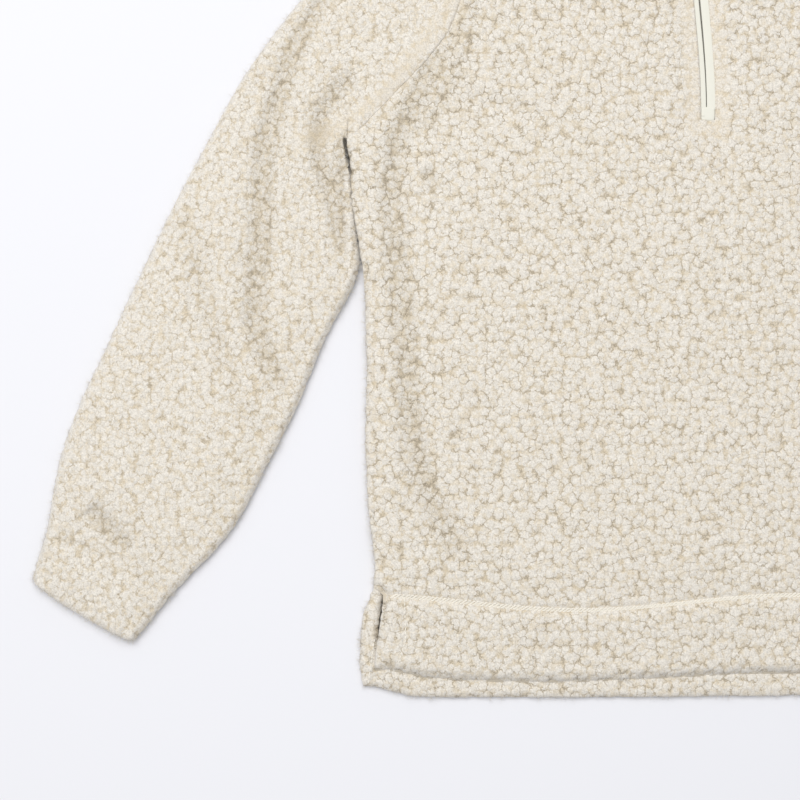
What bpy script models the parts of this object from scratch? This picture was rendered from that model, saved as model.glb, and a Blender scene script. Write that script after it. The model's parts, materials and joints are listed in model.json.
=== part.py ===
"""Sherpa fleece pullover with a quarter zip, laid flat on its back with its sleeves beside it.

The garment is pressed flat: X runs across it, Y from hem to collar, Z up from the surface.
Its origin is the middle of its outline, on the surface. Sizes in the tables are millimetres,
with y measured up from the hem and x from the centre front.
Every piece of cloth is a closed wall between an outer and an inner grid of points. Panels are
flat sheets, and sleeves, cuffs and collar are flattened rings, bent round at both folds.
The wearer's right is at -X, which is the left of the picture.
"""

from collections import namedtuple

import bmesh
import bpy
import numpy as np
from mathutils import Vector

MM = 0.001
SEAM_GAP = 0.3

# Lengths up the garment, from the hem
VENT_TOP_Y = 80.0
UNDERARM_Y = 446.0
SHOULDER_Y = 648.0
NECK_POINT_Y = 690.0
FRONT_NECK_Y = 610.0
BACK_NECK_Y = 674.0
COLLAR_FRONT_TOP_Y = 684.0
COLLAR_BACK_TOP_Y = 746.0
COLLAR_SIDE_TOP_Y = 752.0
BACK_HEM_Y = -1.2
GARMENT_MIDDLE_Y = (BACK_HEM_Y + COLLAR_SIDE_TOP_Y) / 2

# How sharply the necklines turn up towards the neck points
FRONT_NECK_BEND = 2.2
BACK_NECK_BEND = 2.0

# Widths from the centre
SHOULDER_X = 204.0
NECK_POINT_X = 88.0
COLLAR_TOP_X = 85.0

# The cloth: knitted backing with its pile, doubled where the hem is turned up
WALL = 5.5
HEM_WALL = 7.0
TUBE_SLIT = 0.6
FOLD_RADIUS = WALL + TUBE_SLIT / 2
PLUMP = 2.1
MOST_LIFT = 3.3

# What an edge keeps of the wall's height, and how far in the rounding reaches
FREE_EDGE = 0.3
SEWN_EDGE = 0.6
EDGE_ROUND = 7.0
UNDERSIDE_ROUND = 0.6
HEM_STITCH_Y = 75.5
STITCH_DEPTH = 2.4
STITCH_HALF_WIDTH = 3.5
HEM_CLEARANCE = 0.7
HEM_CLEAR_HALF_WIDTH = 25.0

# The zip
SLOT_HALF = 6.1
SLOT_END_Y = 462.0
TAPE_END_Y = 472.0
TAPE_TOP_Y = 681.0
TAPE_GAP = 0.3
TAPE_EDGE = SLOT_HALF - SEAM_GAP - 0.1
TAPE_Z = 10.2
TAPE_WALL = 2.0
TAB_WALL = 2.6
TAB_ROUND = 0.6
ZIP_LEAN = -10.0
ZIP_LEAN_START_Y = 470.0
ZIP_LEAN_LENGTH = 160.0
SLIDER_Y = 664.0
SLIDER_SIZE = (9.0, 11.0, 2.4)
SLIDER_ROUND = 0.6
BRIDGE_WIDTH = 2.0
BRIDGE_HALF_LENGTH = 3.2
BRIDGE_BAR = 1.0
PULL_WIDTH = 6.4
PULL_LENGTH = 27.0
PULL_WALL = 1.4
PULL_HOLE = (3.4, 4.2)
PIVOT_CLEARANCE = 1.3

SideRow = namedtuple("SideRow", "y front back")
SIDES = (
    SideRow(0, 254, 275),
    SideRow(20, 255, 278),
    SideRow(46, 255, 277),
    SideRow(62, 255, 275),
    SideRow(75, 256, 271),
    SideRow(87, 261, 267),
    SideRow(101, 265, 265),
    SideRow(152, 269, 269),
    SideRow(197, 272, 272),
    SideRow(321, 273, 273),
    SideRow(342, 274, 274),
    SideRow(370, 277, 277),
    SideRow(394, 280, 280),
    SideRow(425, 284, 284),
    SideRow(446, 288, 288),
    SideRow(470, 267, 267),
    SideRow(496, 242, 242),
    SideRow(522, 217, 217),
    SideRow(546, 202, 202),
    SideRow(580, 195, 195),
    SideRow(648, 204, 204),
)

# Sections across a sleeve from the shoulder down to the cuff's seam: its outer and inner fold
SleeveRow = namedtuple("SleeveRow", "outer_x outer_y inner_x inner_y")
SLEEVE = (
    SleeveRow(204, 648, 288, 446),
    SleeveRow(252, 631, 294, 441),
    SleeveRow(298, 593, 293, 427),
    SleeveRow(338, 543, 290, 410),
    SleeveRow(371, 496, 286, 392),
    SleeveRow(402, 440, 282, 370),
    SleeveRow(430, 387, 278, 336),
    SleeveRow(455, 335, 303, 288),
    SleeveRow(478, 286, 328, 229),
    SleeveRow(500, 239, 353, 180),
    SleeveRow(518, 190, 381, 130),
    SleeveRow(528, 134, 428, 80),
)
CUFF = (
    SleeveRow(528, 134, 428, 80),
    SleeveRow(539, 97, 455, 48),
)
# How far the cuff's seam and end bow towards the hand
CUFF_SEAM_BOW = -9.0
CUFF_END_BOW = 10.0
# How far a seam's two sides stand apart in x and y
CUFF_SEAM_STEP = (0.18, -0.34, 0.18, -0.34)
ARMHOLE_STEP = (0.39, 0.1)
END_PRESS = 2.2
SLEEVE_LENGTH = 480.0

# Troughs (negative height) and ridges, each along a line of points, for the cloth on top
Fold = namedtuple("Fold", "width height points")
BODY_FOLDS = (
    Fold(13, -2.8, ((-214, 520), (-246, 425), (-250, 350), (-240, 270), (-236, 180), (-212, 120))),
    Fold(9, -1.4, ((-205, 478), (-168, 474), (-137, 464))),
    Fold(15, 1.0, ((-262, 400), (-261, 250), (-254, 140))),
    Fold(16, 0.9, ((-190, 440), (-205, 300), (-196, 190))),
    Fold(14, -2.5, ((212, 528), (243, 440), (240, 340), (226, 262), (230, 205))),
    Fold(10, -1.6, ((196, 470), (150, 452), (118, 455))),
    Fold(15, 1.1, ((200, 400), (190, 300), (204, 230))),
)
RIGHT_SLEEVE_FOLDS = (
    Fold(10, -3.0, ((-326, 520), (-351, 450), (-361, 385), (-363, 310), (-356, 262))),
    Fold(12, -2.0, ((-408, 366), (-396, 302), (-380, 240))),
    Fold(14, 1.2, ((-380, 420), (-388, 350), (-376, 280))),
    Fold(9, -2.2, ((-270, 486), (-303, 466), (-308, 430), (-300, 380))),
    Fold(8, -2.4, ((-500, 150), (-478, 128))),
)
LEFT_SLEEVE_FOLDS = (
    Fold(11, -2.8, ((318, 530), (342, 466), (356, 400), (352, 330))),
    Fold(12, -2.2, ((420, 352), (400, 296), (398, 236))),
    Fold(13, 1.1, ((384, 410), (380, 340), (392, 262))),
    Fold(9, -2.1, ((268, 492), (300, 472), (306, 440))),
    Fold(9, -2.0, ((476, 160), (462, 126))),
)

COLLECTION = "sherpa_fleece_pullover"
CUTTERS = "cutters"
FLEECE = (0.74, 0.68, 0.58)
TAPE_CREAM = (0.86, 0.84, 0.76)
ZIP_METAL = (0.62, 0.60, 0.56)

# Steps of the grids
HEM_STEPS = (0.0, 0.05, 0.14, 0.42, 0.72, 1.0)
BODY_ROWS = 20
ARMHOLE_STEPS = (0.0, 0.0976, 0.2, 0.32, 0.44, 0.57, 0.7, 0.84, 0.965, 1.0)
NECK_STEP = (NECK_POINT_X - SLOT_HALF) / (SHOULDER_X - SLOT_HALF)
EDGE_STEPS = (1.0, 0.99, 0.97)
SHOULDER_COLUMNS = 8
NECK_COLUMNS = 6
BACK_COLUMNS = 6
BACK_NECK_COLUMNS = 4
BACK_ROWS = 9
SLEEVE_ROWS = 20
CUFF_COLUMNS = 9
TAPE_ROWS = 14
CUFF_STEPS = (0.0, 0.1, 0.32, 0.62, 0.88, 1.0)
COLLAR_STEPS = (0.0, 0.07, 0.28, 0.52, 0.76, 0.94, 1.0)
START_FADE = 0.4
UNDERARM_FADE = 0.15


def smooth(t):
    """Ease from 0 to 1 as t goes from 0 to 1, flat at both ends."""
    t = np.clip(t, 0.0, 1.0)
    return t * t * (3.0 - 2.0 * t)


def round_over(distance, least):
    """Share of the wall's height at a distance in from an edge: a quarter round on a low rim."""
    t = np.clip(distance / EDGE_ROUND, 0.0, 1.0)
    return least + (1.0 - least) * np.sqrt(1.0 - (1.0 - t) ** 2)


def spline(rows, t):
    """Points on a smooth curve through the rows, at t from 0 to 1, by Catmull and Rom's rule."""
    rows = np.asarray(rows, dtype=float)
    last = len(rows) - 1
    place = np.clip(np.asarray(t, dtype=float), 0.0, 1.0) * last
    k = np.minimum(place.astype(int), last - 1)
    f = (place - k)[..., None]
    before = rows[np.maximum(k - 1, 0)]
    start, end = rows[k], rows[k + 1]
    after = rows[np.minimum(k + 2, last)]
    return start + 0.5 * f * (
        end - before + f * (2 * before - 5 * start + 4 * end - after + f * (3 * (start - end) + after - before))
    )


def fold_height(folds, x, y):
    """Height that the folds add at x, y: a soft bell across each line, faded in at its ends."""
    total = np.zeros_like(x)
    for fold in folds:
        points = np.asarray(fold.points, dtype=float)
        runs = np.linalg.norm(np.diff(points, axis=0), axis=1)
        whole = runs.sum()
        nearest = np.full(x.shape, np.inf)
        along = np.zeros_like(x)
        passed = 0.0
        for start, end, run in zip(points[:-1], points[1:], runs):
            way = (end - start) / run
            t = np.clip((x - start[0]) * way[0] + (y - start[1]) * way[1], 0.0, run)
            distance = np.hypot(x - start[0] - t * way[0], y - start[1] - t * way[1])
            closer = distance < nearest
            nearest = np.where(closer, distance, nearest)
            along = np.where(closer, (passed + t) / whole, along)
            passed += run
        ends = smooth(along / 0.25) * smooth((1.0 - along) / 0.25)
        total += fold.height * ends * np.exp(-((nearest / fold.width) ** 2))
    return total


def half_width(y, column):
    """Half the body's width at a height, for the front or the back panel."""
    return np.interp(y, [row.y for row in SIDES], [getattr(row, column) for row in SIDES])


def zip_x(y):
    """The zip's centre line, which leans over as it rises."""
    return ZIP_LEAN * smooth((y - ZIP_LEAN_START_Y) / ZIP_LEAN_LENGTH)


def hem_stitch_y(x):
    """The line that holds the turned-up hem, a shallow wave."""
    return HEM_STITCH_Y - 6.0 * np.cos(2 * np.pi * (x + 105.0) / 350.0)


def front_hem_y(x):
    """Lower edge of the front, lifted a little at the vents."""
    return 14.5 - 3.6 * np.cos(2 * np.pi * (x + 133.0) / 400.0) + 4.5 * smooth((np.abs(x) - 215.0) / 40.0)


def back_hem_y(x):
    """Lower edge of the back, which hangs below the front."""
    return BACK_HEM_Y + 2.5 * smooth((x + 150.0) / 400.0) + 9.0 * smooth((np.abs(x) - 225.0) / 50.0)


def shoulder_y(x, neck_y, bend):
    """Upper edge of a panel: the shoulder's slope, and the neckline inside the neck points."""
    across = np.abs(x)
    slope = (NECK_POINT_Y - SHOULDER_Y) / (SHOULDER_X - NECK_POINT_X)
    shoulder = NECK_POINT_Y - (np.clip(across, NECK_POINT_X, SHOULDER_X) - NECK_POINT_X) * slope
    neck = neck_y + (NECK_POINT_Y - neck_y) * (np.minimum(across, NECK_POINT_X) / NECK_POINT_X) ** bend
    return np.where(across < NECK_POINT_X, neck, shoulder)


def panel_columns(neck_step, shoulder_columns, neck_columns):
    """Steps from the centre, 0, to the side, 1, with one on the neck point and a close pair at the side."""
    neck = np.linspace(0.0, neck_step, neck_columns + 1)[:-1]
    shoulder = np.linspace(neck_step, EDGE_STEPS[-1], shoulder_columns + 1)
    return np.concatenate([neck, shoulder, EDGE_STEPS[-2::-1]])


def panel_grid(columns, slot_half, side, hem, neck_y, bend, body_rows):
    """Plan of a panel: rows from the hem up, each from the wearer's right side to the left."""
    right = -columns[::-1] if slot_half else -columns[:0:-1]
    steps = np.concatenate([right, columns])
    sign = np.where(np.arange(len(steps)) < len(right), -1.0, 1.0)
    q = np.abs(steps)
    xs, ys = [], []

    def across(edge_y, lean=0.0):
        wide = half_width(edge_y, side)
        return lean * (1.0 - q) + sign * (slot_half + (wide - slot_half) * q)

    for step in HEM_STEPS:
        x = across(step * HEM_STITCH_Y)
        low, high = hem(x), hem_stitch_y(x) - STITCH_HALF_WIDTH
        xs.append(x)
        ys.append(low + (high - low) * step)
    for beside in (0.0, STITCH_HALF_WIDTH):
        x = across(HEM_STITCH_Y + beside)
        xs.append(x)
        ys.append(hem_stitch_y(x) + beside)
    for step in np.arange(1, body_rows + 1) / body_rows:
        x = across(VENT_TOP_Y + (UNDERARM_Y - VENT_TOP_Y) * step)
        low = hem_stitch_y(x) + STITCH_HALF_WIDTH
        xs.append(x)
        ys.append(low + (UNDERARM_Y - low) * step)
    for step in ARMHOLE_STEPS[1:]:
        lean = zip_x(UNDERARM_Y + (FRONT_NECK_Y - UNDERARM_Y) * step)
        x = across(UNDERARM_Y + (SHOULDER_Y - UNDERARM_Y) * step, lean)
        xs.append(x)
        ys.append(UNDERARM_Y + (shoulder_y(x - lean * (1.0 - q), neck_y, bend) - UNDERARM_Y) * step)
    return np.array(xs), np.array(ys)


def edge_share(x, y):
    """Share of the wall's height left by the rounding at a panel's rim, from its distance to the rim."""
    beside = np.minimum(np.abs(x - x[:, :1]), np.abs(x[:, -1:] - x))
    least = np.where(y[:, :1] > UNDERARM_Y - 1.0, SEWN_EDGE, FREE_EDGE)
    sides = round_over(beside, least)
    hem = round_over(y - y[:1], FREE_EDGE)
    top = round_over(y[-1:] - y, SEWN_EDGE)
    return np.minimum(np.minimum(sides, hem), top), np.minimum(beside, y[-1:] - y)


def wall_height(x, y):
    """The cloth's height: thicker where the hem is turned up, pressed in along its stitching."""
    turned = 1.0 - smooth((y - hem_stitch_y(x) + 12.0) / 24.0)
    pressed = STITCH_DEPTH * np.exp(-(((y - hem_stitch_y(x)) / STITCH_HALF_WIDTH) ** 2))
    return WALL + (HEM_WALL - WALL) * turned, pressed


def lift(folds, x, y, inside):
    """How far the upper cloth stands off what it lies on: plump inside its edges, with the folds."""
    plump = PLUMP * smooth(inside / 30.0)
    return np.clip(plump + fold_height(folds, x, y) * smooth(inside / 10.0), 0.0, MOST_LIFT)


def wall(name, material, outer, inner, ring=False, left_out=None):
    """Closed wall between two grids of points in mm, rimmed along every edge that the grid has."""
    rows, columns = outer.shape[:2]
    index = np.arange(rows * columns).reshape(rows, columns)
    if ring:
        index = np.hstack([index, index[:, :1]])
    cells = np.stack([index[:-1, :-1], index[:-1, 1:], index[1:, 1:], index[1:, :-1]], axis=-1)
    if left_out is not None:
        cells = cells[~left_out]
    cells = cells.reshape(-1, 4)
    used = np.unique(cells)
    fresh = np.zeros(rows * columns, dtype=int)
    fresh[used] = np.arange(len(used))
    cells = fresh[cells]
    count = len(used)
    sides = {(int(cell[k]), int(cell[(k + 1) % 4])) for cell in cells for k in range(4)}
    rim = [(b, a, a + count, b + count) for a, b in sorted(sides) if (b, a) not in sides]
    faces = [tuple(cell) for cell in cells.tolist()]
    faces += [tuple(cell[::-1]) for cell in (cells + count).tolist()]
    points = np.concatenate([outer.reshape(-1, 3)[used], inner.reshape(-1, 3)[used]])
    points[:, 1] -= GARMENT_MIDDLE_Y
    mesh = bpy.data.meshes.new(name)
    mesh.from_pydata((points * MM).tolist(), [], faces + rim)
    return finish(name, mesh, material)


def finish(name, mesh, material):
    """Turn a mesh's faces outwards, shade it smooth and put it in the collection."""
    shape = bmesh.new()
    shape.from_mesh(mesh)
    bmesh.ops.recalc_face_normals(shape, faces=shape.faces)
    if shape.calc_volume(signed=True) < 0.0:
        bmesh.ops.reverse_faces(shape, faces=shape.faces)
    shape.to_mesh(mesh)
    shape.free()
    mesh.shade_smooth()
    mesh.set_sharp_from_angle(angle=np.radians(50.0))
    mesh.materials.append(material)
    piece = bpy.data.objects.new(name, mesh)
    bpy.data.collections[COLLECTION].objects.link(piece)
    return piece


def cloth_material(name, colour, roughness=0.95, metallic=0.0):
    """A Principled material with the given linear colour."""
    material = bpy.data.materials.new(name)
    material.use_nodes = True
    shader = material.node_tree.nodes["Principled BSDF"]
    shader.inputs["Base Color"].default_value = (*colour, 1.0)
    shader.inputs["Roughness"].default_value = roughness
    shader.inputs["Metallic"].default_value = metallic
    return material


def back_panel():
    """The back: flat underneath, longer than the front, with the wider flaps of the vents."""
    columns = panel_columns(NECK_POINT_X / SHOULDER_X, BACK_COLUMNS, BACK_NECK_COLUMNS)
    x, y = panel_grid(columns, 0.0, "back", back_hem_y, BACK_NECK_Y, BACK_NECK_BEND, BACK_ROWS)
    share, _ = edge_share(x, y)
    height, _ = wall_height(x, y)
    under = height * (1.0 - share) * UNDERSIDE_ROUND
    return wall("back_panel", cloth_material("back_fleece", FLEECE),
                np.stack([x, y, height], axis=-1), np.stack([x, y, under], axis=-1))


def front_panel():
    """The front: lies on the back, with folds, the hem's stitched channel and the zip's slot."""
    columns = panel_columns(NECK_STEP, SHOULDER_COLUMNS, NECK_COLUMNS)
    x, y = panel_grid(columns, SLOT_HALF, "front", front_hem_y, FRONT_NECK_Y, FRONT_NECK_BEND, BODY_ROWS)
    share, inside = edge_share(x, y)
    inside = np.minimum(inside, y - hem_stitch_y(x))
    inside = np.where(y > SLOT_END_Y - 30.0, np.minimum(inside, np.abs(x - zip_x(y)) - SLOT_HALF), inside)
    height, pressed = wall_height(x, y)
    clear = HEM_CLEARANCE * np.exp(-(((y - hem_stitch_y(x)) / HEM_CLEAR_HALF_WIDTH) ** 2))
    low = height + SEAM_GAP + clear + lift(BODY_FOLDS, x, y, inside)
    left_out = np.zeros((len(x) - 1, x.shape[1] - 1), dtype=bool)
    slot_row = int(np.argmin(np.abs(y[:, len(columns)] - SLOT_END_Y)))
    left_out[slot_row:, len(columns) - 1] = True
    return wall("front_panel", cloth_material("front_fleece", FLEECE),
                np.stack([x, y, low + height * share - pressed], axis=-1),
                np.stack([x, y, low], axis=-1), left_out=left_out)


def armhole():
    """Points of the armhole's seam from the underarm up, on the wearer's left, in mm."""
    steps = np.array(ARMHOLE_STEPS)
    y = UNDERARM_Y + (SHOULDER_Y - UNDERARM_Y) * steps
    return np.stack([half_width(y, "front"), y], axis=-1)


def ring_places(between, folds=3):
    """Places round a flattened ring: how far across its flat run, and the way the wall faces."""
    turn = np.radians(np.linspace(-90.0, 90.0, folds + 2)[1:-1])
    flat = np.concatenate([[0.0], between, [1.0]])
    across = np.concatenate([flat, np.ones(folds), flat[::-1], np.zeros(folds)])
    down, up = np.full(len(flat), -np.pi / 2), np.full(len(flat), np.pi / 2)
    facing = np.concatenate([down, turn, up, np.pi - turn[::-1]])
    return across, facing


def tube(name, rows, steps, folds, between, side, start=None, start_bow=0.0, end_bow=0.0):
    """A flattened sleeve: rings across the rows, bent round at both folds, pressed in at both ends.

    The first ring follows the start line where one is given. A bow carries the middle of the
    first or last ring towards the hand.
    """
    steps = np.array(steps)
    across, facing = ring_places(between)
    at = spline(rows, steps)
    outer_fold, inner_fold = at[:, :2], at[:, 2:]
    chord = np.linalg.norm(outer_fold - inner_fold, axis=1)
    handwards = np.stack([(outer_fold - inner_fold)[:, 1], -(outer_fold - inner_fold)[:, 0]], axis=-1)
    handwards /= chord[:, None]
    fade = 1.0 - smooth(steps / START_FADE)
    width = chord
    if start is not None:
        runs = np.concatenate([[0.0], np.cumsum(np.linalg.norm(np.diff(start, axis=0), axis=1))])
        width = chord + fade * (runs[-1] - chord[0])
    bow = start_bow * (1.0 - smooth(steps / START_FADE)) + end_bow * smooth((steps - 1.0) / START_FADE + 1.0)

    def plan(radius):
        a = FOLD_RADIUS + across * (width[:, None] - 2 * FOLD_RADIUS) + radius * np.cos(facing)
        a = a / width[:, None]
        point = inner_fold[:, None] + (outer_fold - inner_fold)[:, None] * a[..., None]
        if start is not None:
            line = np.stack([np.interp(a[0] * runs[-1], runs, start[:, k]) for k in (0, 1)], axis=-1)
            reach = START_FADE * (UNDERARM_FADE + (1.0 - UNDERARM_FADE) * np.clip(a[0], 0.0, 1.0))
            kept = 1.0 - smooth(steps[:, None] / reach)
            point = point + kept[..., None] * (line - point[0])
        bent = bow[:, None] * np.sin(np.pi * np.clip(a, 0.0, 1.0))
        return point + bent[..., None] * handwards[:, None]

    length = np.linalg.norm(at[-1] - at[0]) / np.sqrt(2.0)
    from_end = np.minimum(steps, 1.0 - steps) * length
    pressed = END_PRESS * (1.0 - smooth(from_end / EDGE_ROUND))
    outer_plan, inner_plan = plan(FOLD_RADIUS), plan(FOLD_RADIUS - WALL)
    beside = np.minimum(across, 1.0 - across) * width[:, None]
    raised = lift(folds, side * outer_plan[..., 0], outer_plan[..., 1], np.minimum(from_end[:, None], beside))
    raised = raised * (np.sin(facing) > 0.99)
    outer_z = FOLD_RADIUS * (1.0 + np.sin(facing)) - pressed[:, None] * np.maximum(np.sin(facing), 0.0)
    inner_z = FOLD_RADIUS + (FOLD_RADIUS - WALL) * np.sin(facing)
    outer = np.stack([side * outer_plan[..., 0], outer_plan[..., 1], outer_z + raised], axis=-1)
    inner = np.stack([side * inner_plan[..., 0], inner_plan[..., 1], inner_z + raised], axis=-1)
    return wall(name, cloth_material(name + "_fleece", FLEECE), outer, inner, ring=True)


def sleeves():
    """Both sleeves and their cuffs, set in at the armholes."""
    line = armhole()
    runs = np.concatenate([[0.0], np.cumsum(np.linalg.norm(np.diff(line, axis=0), axis=1))])
    flat = (runs - FOLD_RADIUS) / (runs[-1] - 2 * FOLD_RADIUS)
    between = flat[(flat > 0.0) & (flat < 1.0)]
    seam = line + np.array(ARMHOLE_STEP)
    near_end = EDGE_ROUND / SLEEVE_LENGTH
    main = np.linspace(near_end, 1.0 - near_end, SLEEVE_ROWS)
    steps = np.concatenate([[0.0, near_end / 2], main, [1.0 - near_end / 2, 1.0]])
    cuff_rows = [np.array(CUFF[0]) + CUFF_SEAM_STEP, np.array(CUFF[1])]
    cuff_between = np.linspace(0.0, 1.0, CUFF_COLUMNS)[1:-1]
    pieces = []
    for name, side, folds in (("right", -1.0, RIGHT_SLEEVE_FOLDS), ("left", 1.0, LEFT_SLEEVE_FOLDS)):
        sleeve = tube("sleeve_" + name, np.array(SLEEVE), steps, folds, between, side,
                      start=seam, end_bow=CUFF_SEAM_BOW)
        cuff = tube("cuff_" + name, np.array(cuff_rows), CUFF_STEPS, (), cuff_between, side,
                    start_bow=CUFF_SEAM_BOW, end_bow=CUFF_END_BOW)
        pieces += [sleeve, cuff]
    return pieces


def neck_line(columns, slot_half, neck_y, bend):
    """Points of a panel's upper edge between the neck points, in mm, as its last row has them."""
    x, y = panel_grid(columns, slot_half, "front", front_hem_y, neck_y, bend, 1)
    return x[-1], y[-1]


def collar():
    """The stand-up collar, pressed flat: bent round at the neck points and open at the zip."""
    front_columns = panel_columns(NECK_STEP, 1, NECK_COLUMNS)
    back_columns = panel_columns(NECK_POINT_X / SHOULDER_X, 1, BACK_NECK_COLUMNS)
    front_x, front_y = neck_line(front_columns, SLOT_HALF, FRONT_NECK_Y, FRONT_NECK_BEND)
    back_x, back_y = neck_line(back_columns, 0.0, BACK_NECK_Y, BACK_NECK_BEND)
    centre = ZIP_LEAN * (1.0 - NECK_STEP)
    turn = np.radians((45.0, 0.0, -45.0))
    outer_rows, inner_rows = [], []
    for step in COLLAR_STEPS:
        half = NECK_POINT_X + (COLLAR_TOP_X - NECK_POINT_X) * step
        zip_here = zip_x(FRONT_NECK_Y + (COLLAR_FRONT_TOP_Y - FRONT_NECK_Y) * step)
        fold_at = half - FOLD_RADIUS
        front = np.linspace(0.0, 1.0, NECK_COLUMNS + 1)
        back = np.linspace(1.0, -1.0, 2 * BACK_NECK_COLUMNS + 1)
        for rows, radius in ((outer_rows, FOLD_RADIUS), (inner_rows, FOLD_RADIUS - WALL)):
            left = zip_here + SLOT_HALF + (centre + fold_at - zip_here - SLOT_HALF) * front
            right = zip_here - SLOT_HALF + (centre - fold_at - zip_here + SLOT_HALF) * front
            x = np.concatenate([
                left,
                centre + fold_at + radius * np.cos(turn),
                centre + fold_at * back,
                centre - fold_at - radius * np.cos(turn[::-1]),
                right[::-1],
            ])
            facing = np.concatenate([np.full(len(left), np.pi / 2), turn, np.full(len(back), -np.pi / 2),
                                     turn[::-1], np.full(len(right), np.pi / 2)])
            under, upper = np.sin(facing) < -0.99, np.sin(facing) > 0.99
            share = np.abs(x - centre) / NECK_POINT_X
            seam_front = np.interp(x, front_x, front_y)
            seam_back = np.interp(x, back_x, back_y)
            seam_fold = np.maximum(seam_front, seam_back)
            seam_y = np.where(under, seam_back, np.where(upper, seam_front, seam_fold))
            front_rise = COLLAR_SIDE_TOP_Y - COLLAR_FRONT_TOP_Y
            back_rise = COLLAR_SIDE_TOP_Y - COLLAR_BACK_TOP_Y
            front_top = COLLAR_FRONT_TOP_Y + front_rise * np.minimum(share, 1.0) ** FRONT_NECK_BEND
            back_top = COLLAR_BACK_TOP_Y + back_rise * np.minimum(share, 1.0) ** BACK_NECK_BEND
            top_fold = np.maximum(front_top, back_top)
            top_y = np.where(under, back_top, np.where(upper, front_top, top_fold))
            y = seam_y + SEAM_GAP + (top_y - seam_y - SEAM_GAP) * step
            z = FOLD_RADIUS + radius * np.sin(facing)
            if rows is outer_rows:
                from_end = min(step, 1.0 - step) * (COLLAR_BACK_TOP_Y - BACK_NECK_Y)
                z = z - END_PRESS * (1.0 - smooth(from_end / EDGE_ROUND)) * np.maximum(np.sin(facing), 0.0)
            rows.append(np.stack([x, y, z], axis=-1))
    return wall("collar", cloth_material("collar_fleece", FLEECE), np.array(outer_rows), np.array(inner_rows))


def zip_tape(name, side):
    """One side of the zip: a strip of tape from the slot's end up to the collar's top edge."""
    y = np.linspace(TAPE_END_Y, TAPE_TOP_Y, TAPE_ROWS)
    x = zip_x(y)
    edges = np.array([TAPE_GAP, TAPE_EDGE])
    across = x[:, None] + side * edges
    plan = np.stack([across, np.repeat(y[:, None], 2, axis=1)], axis=-1)
    top = np.full(across.shape + (1,), TAPE_Z)
    return wall(name, cloth_material(name + "_weave", TAPE_CREAM, 0.8),
                np.concatenate([plan, top], axis=-1), np.concatenate([plan, top - TAPE_WALL], axis=-1))


def box(name, size, middle, material, round_by=0.0):
    """A box of the given size in mm, its edges rounded by a bevel where round_by is given."""
    shape = bmesh.new()
    bmesh.ops.create_cube(shape, size=1.0)
    bmesh.ops.scale(shape, vec=Vector(size) * MM, verts=shape.verts)
    if round_by:
        bmesh.ops.bevel(shape, geom=shape.edges, offset=round_by * MM, segments=2, affect="EDGES", profile=0.5)
    bmesh.ops.translate(shape, vec=Vector(middle) * MM, verts=shape.verts)
    mesh = bpy.data.meshes.new(name)
    shape.to_mesh(mesh)
    shape.free()
    return finish(name, mesh, material)


def joined(piece, other, operation):
    """Join or cut a piece with another by a Boolean, and leave the other as a hidden cutter."""
    cutters = bpy.data.collections[CUTTERS]
    bpy.data.collections[COLLECTION].objects.unlink(other)
    cutters.objects.link(other)
    other.hide_render = True
    other.display_type = "WIRE"
    step = piece.modifiers.new(operation.lower(), "BOOLEAN")
    step.operation = operation
    step.solver = "EXACT"
    step.object = other


def zip_end():
    """The sewn tab that closes the zip's lower end."""
    length = TAPE_END_Y - SLOT_END_Y - 2 * SEAM_GAP
    middle = (SLOT_END_Y + TAPE_END_Y) / 2 - GARMENT_MIDDLE_Y
    size = (2 * TAPE_EDGE, length, TAB_WALL)
    place = (0.0, middle, TAPE_Z - TAPE_WALL + TAB_WALL / 2)
    return box("zip_end_tab", size, place, cloth_material("tab_weave", TAPE_CREAM, 0.8), TAB_ROUND)


def slider_and_pull():
    """The slider at the top of the closed zip, with its bridge, and the pull that hinges in it."""
    x = zip_x(SLIDER_Y)
    y = SLIDER_Y - GARMENT_MIDDLE_Y
    metal = cloth_material("slider_metal", ZIP_METAL, 0.35, 1.0)
    base = TAPE_Z + SEAM_GAP
    top = base + SLIDER_SIZE[2]
    pivot = top + PIVOT_CLEARANCE
    slider = box("zip_slider", SLIDER_SIZE, (x, y, base + SLIDER_SIZE[2] / 2), metal, SLIDER_ROUND)
    bridge_top = pivot + PIVOT_CLEARANCE + BRIDGE_BAR
    outer_size = (BRIDGE_WIDTH, 2 * (BRIDGE_HALF_LENGTH + BRIDGE_BAR), bridge_top - top + SLIDER_ROUND)
    bridge = box("bridge_block", outer_size, (x, y, bridge_top - outer_size[2] / 2), metal)
    opening = (3 * BRIDGE_WIDTH, 2 * BRIDGE_HALF_LENGTH, pivot + PIVOT_CLEARANCE - top)
    hole = box("bridge_opening", opening, (x, y, top + opening[2] / 2), metal)
    joined(slider, bridge, "UNION")
    joined(slider, hole, "DIFFERENCE")
    return slider, zip_pull(x, y, pivot, metal)


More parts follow.
